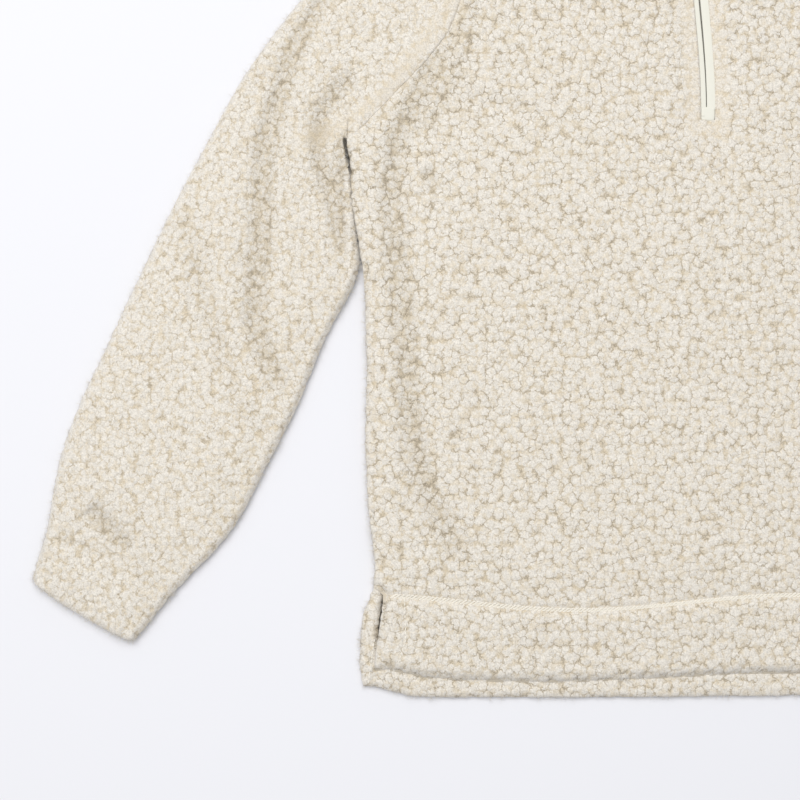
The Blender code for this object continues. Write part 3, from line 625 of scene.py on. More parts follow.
def patterned(name, code, darker, patterns, bump, sockets, on_cloth=False):
    """A material whose colour runs from a darker share of it up to itself, with a bump, by one pattern.

    The patterns are nodes that read a place in mm, by the cloth's own plan or the object, and multiply.
    """
    material, tree = new_material(name, sockets)
    if on_cloth:
        place = add(tree, "ShaderNodeUVMap", uv_map="cloth")
    else:
        place = add(tree, "ShaderNodeTexCoord", output="Object")
    place = add(tree, VECTOR, {0: place, 3: 1.0 / MM}, operation="SCALE")
    height = 1.0
    for kind, inputs, settings in patterns:
        part = add(tree, kind, {"Vector": place, **inputs}, "Fac", **settings)
        height = add(tree, MATH, (height, part), operation="MULTIPLY")
    ends = {6: (*(part * darker for part in code), 1.0), 7: (*code, 1.0)}
    surface(tree, add(tree, "ShaderNodeMix", {0: height, **ends}, 2, data_type="RGBA"), height, *bump)
    return material


def fleece_material(name, pile, cloth):
    """Sherpa fleece: a knitted polyester backing with brushed, curled and tumbled pile.

    Matt and soft, with off-white curl tops, warm beige between them, thin broken cracks and fuzz. The colours
    low in the pile are partly the fibres' tone and partly painted shade, and shade is painted along creases
    and in slits.
    """
    material, tree = new_material(name, {"Roughness": 0.95, "Specular IOR Level": 0.2, "Sheen Weight": 0.6,
                                         "Sheen Roughness": 0.5})
    place = add(tree, "ShaderNodeUVMap", uv_map="cloth")
    place = add(tree, VECTOR, {0: place, 3: 1.0 / MM}, operation="SCALE")
    nap, painted_shade = (add(tree, "ShaderNodeAttribute", output="Fac", attribute_name=field)
                  for field in ("nap", "painted_shade"))
    height = add(tree, MATH, (pile_height(tree, place, pile), LEVEL), operation="SUBTRACT")
    height = add(tree, MATH, (height, nap, LEVEL), operation="MULTIPLY_ADD")
    # Painted shade: along creases and in slits the colour is pushed down towards the beige and the cracks'
    # colour
    shaded = add(tree, MATH, (painted_shade, -0.2, height), operation="MULTIPLY_ADD")
    fibre = add(tree, NOISE, {"Vector": place, "Scale": 0.7, "Detail": 4.0, "Roughness": 0.8}, "Fac", **FLAT)
    slow = add(tree, NOISE, {"Vector": place, "Scale": 1.0 / 6.0, "Detail": 3.0}, "Fac", **FLAT)
    # By the pile's height: tip colour on the tops, beige lower, crack colour at the bottom, partly painted
    # shade; the last two ranges paint shade, a little along creases and nearly black in slits
    tops, warm, painted_crack_shade, grain, painted_crease_shade, painted_slit_shade = (add(tree, RANGE, limits, **EASED) for limits in (
        (shaded, 0.26, 0.74, 0.0, 1.0),
        (slow, 0.46, 0.68, 0.0, 0.42),
        (shaded, -0.02, 0.32, 0.9, 0.0),
        (fibre, 0.28, 0.72, 0.80, 1.14),
        (painted_shade, 0.0, 1.0, 1.0, 0.92),
        (painted_shade, 1.0, 2.0, 1.0, 0.14),
    ))
    colour = (*cloth.base, 1.0)
    for share, tone in ((tops, cloth.tip), (warm, cloth.patch), (painted_crack_shade, cloth.crack)):
        colour = add(tree, "ShaderNodeMix", {0: share, 6: colour, 7: (*tone, 1.0)}, 2, data_type="RGBA")
    # The fibres' grain is darkened by the painted shade of creases and slits
    for share in (painted_crease_shade, painted_slit_shade):
        grain = add(tree, MATH, (grain, share), operation="MULTIPLY")
    colour = add(tree, VECTOR, {0: colour, 3: grain}, operation="SCALE")
    fuzz = add(tree, MATH, (fibre, 0.5, height), operation="MULTIPLY_ADD")
    surface(tree, colour, fuzz, 0.35 * cloth.pile, 0.8)
    return material


def backing_material(cloth):
    """Inner side of sherpa fleece: warp knitted polyester, brushed smooth, with faint wales 1.2 mm apart."""
    wales = ("ShaderNodeTexWave", {"Scale": 0.26, "Distortion": 1.2, "Detail": 2.0}, {})
    return patterned("knitted_backing", cloth.backing, 0.9, [wales], (0.0002, 0.5),
                     {"Roughness": 0.9, "Sheen Weight": 0.2}, on_cloth=True)


def plain_fibre(name, code, rough, grain):
    """Spun polyester, matt and uneven along its length: the sewing thread and, finer, loose fibres."""
    uneven = (NOISE, {"Scale": grain, "Detail": 3.0}, {})
    return patterned(name, code, 0.85, [uneven], (0.0001, 0.5), {"Roughness": rough, "Sheen Weight": 0.2})


def tape_material(zips):
    """Zip tape: plain woven polyester, dyed cream; smooth and matt with a faint 0.5 mm weave."""
    weave = [("ShaderNodeTexWave", {"Scale": 0.62, "Distortion": 0.4}, {"bands_direction": way})
             for way in ("X", "Y")]
    return patterned("woven_zip_tape", zips.tape, 0.93, weave, (0.0001, 0.5),
                     {"Roughness": 0.75, "Sheen Weight": 0.15})


def painted_metal(zips):
    """Die-cast zinc with satin cream enamel: smooth, softly glossy, with a faint orange peel."""
    peel = (NOISE, {"Scale": 1.6, "Detail": 2.0}, {})
    return patterned("cream_enamelled_metal", zips.metal, 0.95, [peel], (0.00004, 0.4),
                     {"Roughness": 0.32, "Coat Weight": 0.3, "Coat Roughness": 0.2})


def materials_for(pile, name):
    """The pile's material and the backing's, made once each."""
    cloth = bpy.context.scene.pullover_cloth
    face = bpy.data.materials.get(name) or fleece_material(name, pile, cloth)
    back = bpy.data.materials.get("knitted_backing") or backing_material(cloth)
    return face, back


def normals(points, ring):
    """Unit normals of a grid: the cross product of its steps across and along."""
    if ring:
        across = np.roll(points, -1, axis=1) - np.roll(points, 1, axis=1)
    else:
        across = np.gradient(points, axis=1)
    cross = np.cross(across, np.gradient(points, axis=0))
    return cross / np.maximum(np.linalg.norm(cross, axis=-1, keepdims=True), 1e-9)


def raise_pile(outer, uv, nap, pile, ring=False, side=1.0):
    """Move a wall's outer grid along its normals by the pile's height, not at all where it faces down."""
    height = pile_at(uv[:, :outer.shape[1]], pile)
    facing = normals(outer, ring) * side
    shown = smooth((facing[..., 2] + 0.7) / 0.6)
    relief = pile.relief * bpy.context.scene.pullover_cloth.pile / MM
    sideways = 1.0 + RIM_RELIEF * (1.0 - np.clip(facing[..., 2], 0.0, 1.0)) ** 2
    moved = outer + facing * (relief * sideways * nap * shown * (height - LEVEL + 0.06))[..., None]
    moved[..., 2] = np.maximum(moved[..., 2], 0.02)
    return moved


def shell(name, materials, outer, inner, uv, fields, ring=False, left_out=None):
    """Closed wall of cloth in metres between a fine outer grid in mm and a coarse inner one.

    Both grids share rows and columns, of which the inner one has every fourth. Each rim face runs
    along four fine edges and back along a coarse one, and its pattern carries on over the edge by the
    rim's height. uv has one more column where the grid is a ring.
    The fields are kept as attributes: nap, the pile's share, and the painted shade, how dark the pile's
    colour is painted along creases and in slits.
    """
    fine, coarse, fine_uv = (np.arange(grid.shape[0] * grid.shape[1]).reshape(grid.shape[:2])
                             for grid in (outer, inner, uv))
    coarse += fine.size
    if ring:
        fine, coarse = (np.hstack([index, index[:, :1]]) for index in (fine, coarse))
    coarse_uv = fine_uv[::COARSE, ::COARSE]
    kept = np.ones((coarse.shape[0] - 1, coarse.shape[1] - 1), dtype=bool)
    if left_out is not None:
        kept &= ~left_out
    fine_kept = np.kron(kept, np.ones((COARSE, COARSE), dtype=bool))

    def kept_faces(index, mask):
        return np.stack([index[:-1, :-1], index[:-1, 1:], index[1:, 1:], index[1:, :-1]], axis=-1)[mask]

    corner = kept_faces(coarse, kept)
    place = np.stack([kept_faces(grid, kept) for grid in np.indices(coarse.shape)], axis=-1)
    low, high = corner.ravel(), np.roll(corner, -1, axis=1).ravel()
    whole = coarse.max() + 1
    rim = ~np.isin(low * whole + high, high * whole + low)
    start, end = place.reshape(-1, 2)[rim], np.roll(place, -1, axis=1).reshape(-1, 2)[rim]
    path = COARSE * start[:, None] + (end - start)[:, None] * np.arange(COARSE, -1, -1)[None, :, None]
    rim_faces = np.column_stack([fine[path[..., 0], path[..., 1]], low[rim], high[rim]])
    points = np.concatenate([outer.reshape(-1, 3), inner.reshape(-1, 3)])
    plan = uv.reshape(-1, 2)
    beyond = np.stack([plan[coarse_uv[ends[:, 0], ends[:, 1]]] for ends in (start, end)], axis=1)
    way = beyond[:, 1] - beyond[:, 0]
    way /= np.linalg.norm(way, axis=1)[:, None]
    over = np.linalg.norm(points[rim_faces[:, -3]] - points[low[rim]], axis=1) * MM
    beyond += (np.stack([way[:, 1], -way[:, 0]], axis=-1) * over[:, None])[:, None]
    rolled_over = len(plan) + np.arange(2 * len(beyond)).reshape(-1, 2)
    plan = np.concatenate([plan, beyond.reshape(-1, 2)])
    faces = [kept_faces(fine, fine_kept), corner[:, ::-1], rim_faces]
    face_uv = [kept_faces(fine_uv, fine_kept), kept_faces(coarse_uv, kept)[:, ::-1],
               np.column_stack([fine_uv[path[..., 0], path[..., 1]], rolled_over])]
    used = np.unique(np.concatenate([face.ravel() for face in faces]))
    fresh = np.zeros(len(points), dtype=np.int64)
    fresh[used] = np.arange(len(used))
    faces = [fresh[face] for face in faces]
    points = (points[used] - (0.0, MIDDLE_Y, 0.0)) * MM
    if volume(points, faces) < 0.0:
        faces, face_uv = ([face[:, ::-1] for face in blocks] for blocks in (faces, face_uv))
    counts = [len(face) for face in faces]
    piece = mesh_object(name, points, faces, materials, np.repeat([0, 1, 0], counts))
    mesh = piece.data
    corners = np.concatenate([face.ravel() for face in face_uv])
    mesh.uv_layers.new(name="cloth").uv.foreach_set("vector", plan[corners].astype(np.float32).ravel())
    mesh.polygons.foreach_set("use_smooth", np.repeat([True, True, False], counts))
    for field, values in fields.items():
        values = np.concatenate([values.ravel(), values[::COARSE, ::COARSE].ravel()])[used]
        mesh.attributes.new(field, "FLOAT", "POINT").data.foreach_set("value", values.astype(np.float32))
    return piece


def volume(points, faces):
    """Volume inside a closed mesh: a sixth of the triple products of its faces' fans."""
    total = 0.0
    for face in faces:
        first = points[face[:, 0]]
        for k in range(1, face.shape[1] - 1):
            total += np.einsum("ij,ij->", first, np.cross(points[face[:, k]], points[face[:, k + 1]])) / 6.0
    return total


def mesh_object(name, points, faces, materials, slots=None):
    """An object with a smooth mesh of the given points in metres, blocks of faces, and materials."""
    mesh = bpy.data.meshes.new(name)
    corners = np.concatenate([face.ravel() for face in faces])
    sizes = np.concatenate([np.full(len(face), face.shape[1]) for face in faces])
    mesh.vertices.add(len(points))
    mesh.vertices.foreach_set("co", points.astype(np.float32).ravel())
    mesh.loops.add(len(corners))
    mesh.loops.foreach_set("vertex_index", corners.astype(np.int32))
    mesh.polygons.add(len(sizes))
    mesh.polygons.foreach_set("loop_start", (np.cumsum(sizes) - sizes).astype(np.int32))
    if slots is not None:
        mesh.polygons.foreach_set("material_index", slots.astype(np.int32))
    mesh.update(calc_edges=True)
    mesh.validate()
    mesh.shade_smooth()
    for material in materials:
        mesh.materials.append(material)
    piece = bpy.data.objects.new(name, mesh)
    bpy.context.scene.collection.objects.link(piece)
    return piece


def finish_piece(piece, node):
    """Let a piece stand for a CAD node, if one is given, which it hides, and put the piece on the garment's
    body.
    """
    if node:
        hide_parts(node)
    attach(piece, "garment")
    return piece


def half_columns(count, edge_cells, edge, run):
    """Steps from a panel's middle, 0, to its side, 1, with small cells at the side."""
    columns = steps_with_edges(count, edge_cells, edge, run)[count // 2:]
    return (columns - columns[0]) / (1.0 - columns[0])


def back_panel():
    """The back: flat underneath, finely made where it shows below the front and at the vents."""
    wall = bpy.context.scene.pullover_cloth.wall / MM
    x, y = panel_grid(half_columns(BACK_CELLS, 20, 22.0, 272.0), 0.0, BACK_HALF, back_hem_y, BACK_NECK_Y,
                      BACK_NECK_BEND, BACK_HEM_CELLS, BACK_BODY_CELLS,
                      np.arange(1, BACK_ARMHOLE_CELLS + 1) / BACK_ARMHOLE_CELLS)
    share, _ = edge_share(x, y, BACK_SIDE_EDGE)
    height, _ = wall_height(x, y, wall)
    uv = np.stack([x, y], axis=-1) * MM
    at_vent = smooth((np.abs(x) - BACK_SHOWS_BESIDE) / SHOWN_FADE) * (y < BACK_SHOWS_UP_TO)
    shown = np.maximum(smooth((BACK_SHOWS_BELOW - y) / SHOWN_FADE), at_vent)
    top = height * share ** 0.5 * (1.0 - 0.12 * (1.0 - shown)) + fold_height(BACK_GROOVES, -np.abs(x), y)
    outer = raise_pile(np.stack([x, y, top], axis=-1), uv, shown, BODY_PILE)
    inner = np.stack([x, y, height * (1.0 - share) * UNDERSIDE_ROUND], axis=-1)[::COARSE, ::COARSE]
    # The vents' slits get shade painted nearly black into the pile's colour
    fields = {"nap": np.ones_like(x), "painted_shade": fold_height(BACK_SLIT_SHADE, -np.abs(x), y)}
    piece = shell("back_cloth", materials_for(BODY_PILE, "sherpa_fleece_body"), outer, inner, uv, fields)
    return finish_piece(piece, "back_panel")


def front_panel():
    """The front: lies on the back, with its folds, the hem's stitched channel and the zip's slot."""
    wall = bpy.context.scene.pullover_cloth.wall / MM
    slot_step = (SLOT_END_Y - UNDERARM_Y) / (FRONT_NECK_Y - UNDERARM_Y)
    armhole_steps = np.concatenate([np.linspace(0.0, slot_step, TO_SLOT_CELLS + 1)[1:],
                                    np.linspace(slot_step, 1.0, BESIDE_SLOT_CELLS + 1)[1:]])
    x, y = panel_grid(half_columns(FRONT_CELLS, 6, 8.0, 540.0), SLOT_HALF, FRONT_HALF, front_hem_y,
                      FRONT_NECK_Y, FRONT_NECK_BEND, FRONT_HEM_CELLS, FRONT_BODY_CELLS, armhole_steps)
    from_stitch, from_zip = y - hem_stitch_y(x), np.abs(x - zip_x(y)) - SLOT_HALF
    share, inside = edge_share(x, y, WRAPPED_EDGE, HEM_EDGE, HEM_ROUND)
    inside = np.minimum(inside, from_stitch)
    inside = np.where(y > SLOT_END_Y - PLUMP_REACH, np.minimum(inside, from_zip), inside)
    height, pressed = wall_height(x, y, wall)
    clear = HEM_CLEARANCE * np.exp(-((from_stitch / HEM_CLEAR_HALF_WIDTH) ** 2))
    low = height + SEAM_GAP + clear + lift(BODY_FOLDS, x, y, inside)
    creased = fold_height(BODY_CREASES, x, y, CREASE_FADE) * smooth(inside / EDGE_FADE)
    sunk = np.where(x < zip_x(y), SLOT_SINK[0], SLOT_SINK[1]) * (1.0 - smooth(from_zip / 5.0))
    sunk *= smooth((y - SLOT_END_Y + 12.0) / 8.0)
    grooved = fold_height(FRONT_GROOVES + VENT_TOP, -np.abs(x), y)
    top = low + height * share - pressed + creased + grooved - sunk
    below_zip = 1.0 + (SURROUND_END_Y - y) / SURROUND_FADE
    around = np.maximum((from_zip + SLOT_HALF) / SURROUND_HALF, below_zip)
    nap = 1.0 - SURROUND_PRESSED * (1.0 - smooth((around - 0.9) / 0.25))
    nap *= 1.0 - STITCH_PRESSED * np.exp(-((from_stitch / STITCH_NAP_WIDTH) ** 2))
    nap *= flattened(x, y)
    rim = np.minimum(np.abs(x - x[:, :1]), np.abs(x[:, -1:] - x))
    above_vent = smooth((y - VENT_EASE[0]) / (VENT_EASE[1] - VENT_EASE[0])) * smooth((UNDERARM_Y - y) / 12.0)
    cover = UNDERARM_COVER * np.exp(-(((y - UNDERARM_Y - 5.0) / 9.0) ** 2))
    bulge = np.sign(x) * (SIDE_BULGE * above_vent + cover) * (1.0 - smooth(rim / (EDGE_ROUND + 4.0)))
    lap = np.where(x < zip_x(y), SLOT_LAP, -SLOT_BACK) * (1.0 - smooth(from_zip / 7.0))
    lap *= smooth((y - SLOT_END_Y + 8.0) / 8.0)
    uv = np.stack([x, y], axis=-1) * MM
    outer = raise_pile(np.stack([x + bulge + lap, y, top], axis=-1), uv, nap, BODY_PILE)
    # Shade painted into the pile's colour: set by the creases' depth, and nearly black at the underarm slit
    slit_shade = fold_height(UNDERARM_SHADE, -np.abs(x), y)
    fields = {"nap": nap, "painted_shade": np.clip(-creased / FULL_SHADE_DEPTH, 0.0, 1.0) + slit_shade}
    left_out = np.zeros(((len(x) - 1) // COARSE, (x.shape[1] - 1) // COARSE), dtype=bool)
    slot_row = FRONT_HEM_CELLS + STITCH_CELLS + FRONT_BODY_CELLS + TO_SLOT_CELLS
    slot_column = FRONT_CELLS // 2
    left_out[slot_row // COARSE:, slot_column // COARSE:(slot_column + SLOT_CELLS) // COARSE] = True
    inner = np.stack([x, y, low], axis=-1)[::COARSE, ::COARSE]
    piece = shell("front_cloth", materials_for(BODY_PILE, "sherpa_fleece_body"), outer, inner, uv, fields,
                  left_out=left_out)
    return finish_piece(piece, "front_panel")


def armhole():
    """Points of the armhole's seam from the underarm up, on the wearer's left."""
    y = np.array((446.0, 465.7, 486.4, 510.6, 534.9, 561.1, 587.4, 615.7, 640.9, 648.0))
    return np.stack([np.interp(y, SIDE_Y, FRONT_HALF), y], axis=-1)


def ring_places(under, over, folds):
    """Places round a flattened ring: how far across its flat run, and the way the wall faces."""
    turn = np.radians(np.linspace(-90.0, 90.0, folds + 2)[1:-1])
    below, above = np.linspace(0.0, 1.0, under + 1), np.linspace(1.0, 0.0, over + 1)
    across = np.concatenate([below, np.ones(folds), above, np.zeros(folds)])
    down, up = np.full(under + 1, -np.pi / 2), np.full(over + 1, np.pi / 2)
    return across, np.concatenate([down, turn, up, np.pi - turn[::-1]])


def tube(name, rows, steps, folds, creases, places, side, presses, start=None, start_bow=0.0, end_bow=0.0,
         corner=0.0):
    """A flattened sleeve: rings across the rows, bent round at both folds, pressed in at both ends.

    Below its middle a fold is round, and above it the height goes with the square of the sine of the
    way the wall faces. The first ring follows the start line where one is given, a bow carries the
    middle of the first or last ring towards the hand, and the folds turn in by the corner at the end.
    The cloth's own plan unrolls the ring from its upper side.
    """
    wall = bpy.context.scene.pullover_cloth.wall / MM
    radius_out = wall + TUBE_SLIT / 2
    across, facing = places
    at = spline(rows, steps)
    sleeve_length = np.linalg.norm(at[-1] - at[0]) / np.sqrt(2.0)
    inward = at[:, :2] - at[:, 2:]
    turned_in = corner * (1.0 - slope_over((1.0 - steps) * sleeve_length, 0.0)) ** 1.5
    inward *= (turned_in / np.linalg.norm(inward, axis=1))[:, None]
    inner_fold = at[:, 2:] + inward
    fold_to_fold = at[:, :2] - inward - inner_fold
    width = chord = np.linalg.norm(fold_to_fold, axis=1)
    handwards = np.stack([fold_to_fold[:, 1], -fold_to_fold[:, 0]], axis=-1) / chord[:, None]
    fade = 1.0 - smooth(steps / START_FADE)
    if start is not None:
        runs = np.concatenate([[0.0], np.cumsum(np.linalg.norm(np.diff(start, axis=0), axis=1))])
        width = chord + fade * (runs[-1] - chord[0])
    bow = (start_bow * fade + end_bow * smooth((steps - 1.0) / START_FADE + 1.0))[:, None]
    bow_power = np.where(bow > 0.0, ROUNDED_BOW, 1.0)

    def placed(a):
        point = inner_fold[:, None] + fold_to_fold[:, None] * a[..., None]
        within = np.clip(a, 0.0, 1.0)
        if start is not None:
            first = inner_fold[0] + fold_to_fold[0] * within[0, :, None]
            line = np.stack([np.interp(within[0] * runs[-1], runs, start[:, k]) for k in (0, 1)], axis=-1)
            reach = START_FADE * (UNDERARM_FADE + (1.0 - UNDERARM_FADE) * within[0])
            point += (1.0 - smooth(steps[:, None] / reach))[..., None] * (line - first)
        bent = bow * np.sin(np.pi * within) ** bow_power
        return point + bent[..., None] * handwards[:, None]

    def plan(radius):
        a = radius_out + across * (width[:, None] - 2 * radius_out) + radius * np.cos(facing)
        x, y = np.moveaxis(placed(a / width[:, None]), -1, 0)
        return side * x, y

    (x, y), (inner_x, inner_y) = plan(radius_out), plan(radius_out - wall)
    from_end = np.minimum(steps, 1.0 - steps)[:, None] * sleeve_length
    pressed = np.where(steps < 0.5, *presses)[:, None] * (1.0 - slope_over(from_end, 0.0))
    inside = np.minimum(from_end, np.minimum(across, 1.0 - across) * width[:, None])
    up = np.sin(facing)
    raised = lift(folds, x, y, inside) * (up > 0.99)
    creased = fold_height(creases, x, y, CREASE_FADE) * smooth(inside / EDGE_FADE) * (up > 0.99)
    z = radius_out * (1.0 + np.where(up > 0.0, up ** 2, up)) - pressed * np.maximum(up, 0.0)
    z += raised + creased
    inner = np.stack([inner_x, inner_y, radius_out + (radius_out - wall) * up + raised], axis=-1)
    uv = unrolled(across, facing, width, radius_out, placed) * MM + SLEEVE_SHIFT
    uv[..., 0] *= side
    nap = (1.0 - END_NAP * (1.0 - smooth(from_end / END_NAP_WIDTH))) * flattened(x, y)
    outer = raise_pile(np.stack([x, y, z], axis=-1), uv, nap, SLEEVE_PILE, ring=True, side=side)
    # Shade painted into the pile's colour: set by the creases' depth, and nearly black at the underarm slit
    slit_shade = fold_height(UNDERARM_SHADE, -np.abs(x), y)
    fields = {"nap": nap, "painted_shade": np.clip(-creased / FULL_SHADE_DEPTH, 0.0, 1.0) + slit_shade}
    return shell(name, materials_for(SLEEVE_PILE, "sherpa_fleece_sleeve"), outer, inner[::COARSE, ::COARSE],
                 uv, fields, ring=True)


def unrolled(across, facing, width, radius, placed):
    """Flat plan of a ring's cloth: its upper side where it lies, the rest rolled out beside it."""
    width = width[:, None]
    flat = width - 2 * radius
    outer_turn = width - radius + radius * (np.pi / 2 - facing)
    inner_turn = radius - radius * (facing - np.pi / 2)
    turning = np.where(across > 0.5, outer_turn, inner_turn)
    under = width - radius + radius * np.pi + (1.0 - across) * flat
    level = np.where(facing > 0, radius + across * flat, under)
    rolled = np.where(np.abs(np.sin(facing)) < 0.9999, turning, level)
    closing = np.full((len(rolled), 1), radius - radius * np.pi)
    return placed(np.hstack([rolled, closing]) / width)


def sleeve_pair(name, side, folds, creases):
    """A sleeve and its cuff."""
    seam = armhole() + np.array(ARMHOLE_STEP)
    seam[0] += UNDERARM_TUCK
    steps = steps_with_edges(300, 5, EDGE_ROUND, 480.0)
    sleeve = tube("sleeve_cloth_" + name, SLEEVE, steps, folds, creases, ring_places(36, 132, 11), side,
                  (ARMHOLE_PRESS, SLEEVE_END_PRESS), start=seam, end_bow=CUFF_SEAM_BOW)
    finish_piece(sleeve, "sleeve_" + name)
    rows = [np.array(CUFF[0]) + CUFF_SEAM_STEP, np.array(CUFF[1])]
    steps = steps_with_edges(32, 5, EDGE_ROUND, 39.0)
    cuff = tube("cuff_cloth_" + name, rows, steps, (), creases, ring_places(24, 80, 11), side,
                (CUFF_START_PRESS, CUFF_END_PRESS), start_bow=CUFF_SEAM_BOW, end_bow=CUFF_END_BOW,
                corner=CUFF_CORNER)
    finish_piece(cuff, "cuff_" + name)


def collar():
    """The stand-up collar, pressed flat: bent round at the neck points and open at the zip."""
    wall = bpy.context.scene.pullover_cloth.wall / MM
    radius_out = wall + TUBE_SLIT / 2
    neck_x = np.linspace(-NECK_POINT_X, NECK_POINT_X, 201)
    lean = ZIP_LEAN * (1.0 - np.abs(neck_x) / SHOULDER_X)
    front_seam = shoulder_y(neck_x - lean, FRONT_NECK_Y, FRONT_NECK_BEND)
    back_seam = shoulder_y(neck_x, BACK_NECK_Y, BACK_NECK_BEND)
    centre = ZIP_LEAN * (1.0 - (NECK_POINT_X - SLOT_HALF) / (SHOULDER_X - SLOT_HALF))
    turn = np.radians(np.linspace(90.0, -90.0, 13)[1:-1])
    front, back = np.linspace(0.0, 1.0, 49), np.linspace(1.0, -1.0, 97)
    flat_front, flat_back = np.full(len(front), np.pi / 2), np.full(len(back), -np.pi / 2)
    up = np.sin(np.concatenate([flat_front, turn, flat_back, turn[::-1], flat_front]))
    depth = COLLAR_BACK_TOP_Y - BACK_NECK_Y
    steps = steps_with_edges(48, 5, EDGE_ROUND, depth)[:, None]
    half = NECK_POINT_X + (COLLAR_TOP_X - NECK_POINT_X) * steps
    zip_here = zip_x(FRONT_NECK_Y + (COLLAR_FRONT_TOP_Y - FRONT_NECK_Y) * steps)
    fold_at = half - radius_out

    def lying(below, above):
        between = np.where(up > 0.9999, above, np.maximum(above, below))
        return np.where(up < -0.9999, below, between)

    grids = []
    for radius in (radius_out, radius_out - wall):
        x = np.hstack([
            zip_here + SLOT_HALF + (centre + fold_at - zip_here - SLOT_HALF) * front,
            centre + fold_at + radius * np.cos(turn),
            centre + fold_at * back,
            centre - fold_at - radius * np.cos(turn[::-1]),
            (zip_here - SLOT_HALF + (centre - fold_at - zip_here + SLOT_HALF) * front)[:, ::-1],
        ])
        share = np.minimum(np.abs(x - centre) / NECK_POINT_X, 1.0)
        seam_y = lying(np.interp(x, neck_x, back_seam), np.interp(x, neck_x, front_seam))
        top_y = lying(*(top + (COLLAR_SIDE_TOP_Y - top) * share ** bend for top, bend in
                        ((COLLAR_BACK_TOP_Y, BACK_NECK_BEND), (COLLAR_FRONT_TOP_Y, FRONT_NECK_BEND))))
        y = seam_y + SEAM_GAP + (top_y - seam_y - SEAM_GAP) * steps
        grids.append(np.stack([x, y, radius_out + radius * up + np.zeros_like(x)], axis=-1))
    outer, inner = grids
    from_end = np.minimum(steps, 1.0 - steps) * depth
    outer[..., 2] -= COLLAR_PRESS * (1.0 - smooth(from_end / EDGE_ROUND)) * np.maximum(up, 0.0)
    round_neck = np.linalg.norm(np.diff(outer[0][:, (0, 2)], axis=0), axis=1)
    rolled = np.concatenate([[0.0], np.cumsum(round_neck)])
    uv = np.stack(np.broadcast_arrays(rolled, COLLAR_PLAN_Y + steps * depth), axis=-1) * MM
    nap = (1.0 - END_NAP * (1.0 - smooth(from_end / END_NAP_WIDTH))) * np.ones_like(up)
    outer = raise_pile(outer, uv, nap, SLEEVE_PILE)
    piece = shell("collar_cloth", materials_for(SLEEVE_PILE, "sherpa_fleece_sleeve"), outer,
                  inner[::COARSE, ::COARSE], uv, {"nap": nap, "painted_shade": np.zeros_like(nap)})
    return finish_piece(piece, "collar")


def lay_on(pieces, spots):
    """Places where rays straight down at the spots, in mm of the plan, first meet a piece, in metres."""
    bpy.context.view_layer.update()
    found = []
    for x, y in spots * MM - (0.0, MIDDLE_Y * MM):
        tops = [piece.ray_cast((x, y, 0.1), (0.0, 0.0, -1.0)) for piece in pieces]
        found.append(max(((x, y, place[2]) for hit, place, _, _ in tops if hit), default=(x, y, 0.0)))
    return np.array(found)


def along_line(points, pitch):
    """Spots one pitch apart along a line of points, with its unit direction at each."""
    points = np.asarray(points, dtype=float)
    runs = np.concatenate([[0.0], np.cumsum(np.linalg.norm(np.diff(points, axis=0), axis=1))])
    at = np.arange(pitch / 2, runs[-1], pitch)
    spots, ahead, behind = (np.stack([np.interp(at + step, runs, points[:, k]) for k in (0, 1)], axis=-1)
                            for step in (0.0, 0.5, -0.5))
    way = ahead - behind
    return spots, way / np.linalg.norm(way, axis=1, keepdims=True)


def strands(name, middles, sections, material, node=None):
    """Closed thin tubes as one piece, with middles (strand, station, 3) and sections round each of them."""
    count, stations, sides = sections.shape[:3]
    points = (middles[:, :, None] + sections).reshape(-1, 3)
    ring = np.arange(count * stations * sides).reshape(count, stations, sides)
    after = np.roll(ring, -1, axis=2)
    walls = np.stack([ring[:, :-1], after[:, :-1], after[:, 1:], ring[:, 1:]], axis=-1).reshape(-1, 4)
    faces = [walls, np.concatenate([ring[:, 0, ::-1], ring[:, -1]])]
    if volume(points, faces) < 0.0:
        faces = [face[:, ::-1] for face in faces]
    return finish_piece(mesh_object(name, points, faces, [material]), node)


def stitching(name, pieces, lines, material):
    """Rows of stitches: each a short thread that bows over the cloth and dives in at both ends.

    Along a stitch t runs from -1 to 1; its middle stands at 1.6 times the thread's radius times
    (0.6 - t squared) over the cloth, and its radius is the thread's times the root of 1 - 0.8 t squared.
    """
    spots, way = (np.concatenate(part) for part in zip(*(along_line(line, STITCH_PITCH) for line in lines)))
    place = lay_on(pieces, spots)
    t = np.linspace(-1.0, 1.0, 5)
    turn = np.radians(np.arange(0, 360, 60))
    along, across = np.zeros((2, len(way), 3))
    along[:, :2] = way
    across[:, 0], across[:, 1] = -way[:, 1], way[:, 0]
    up = np.array([0.0, 0.0, 1.0])
    rise = THREAD_RADIUS * 1.6 * (0.6 - t ** 2)
    middles = place[:, None] + (along[:, None] * (t * STITCH_LENGTH / 2)[:, None] + up * rise[:, None]) * MM
    radius = THREAD_RADIUS * MM * np.sqrt(1.0 - 0.8 * t ** 2)
    around = across[:, None] * np.cos(turn)[:, None] + up * np.sin(turn)[:, None]
    return strands(name, middles, around[:, None] * radius[:, None, None], material)


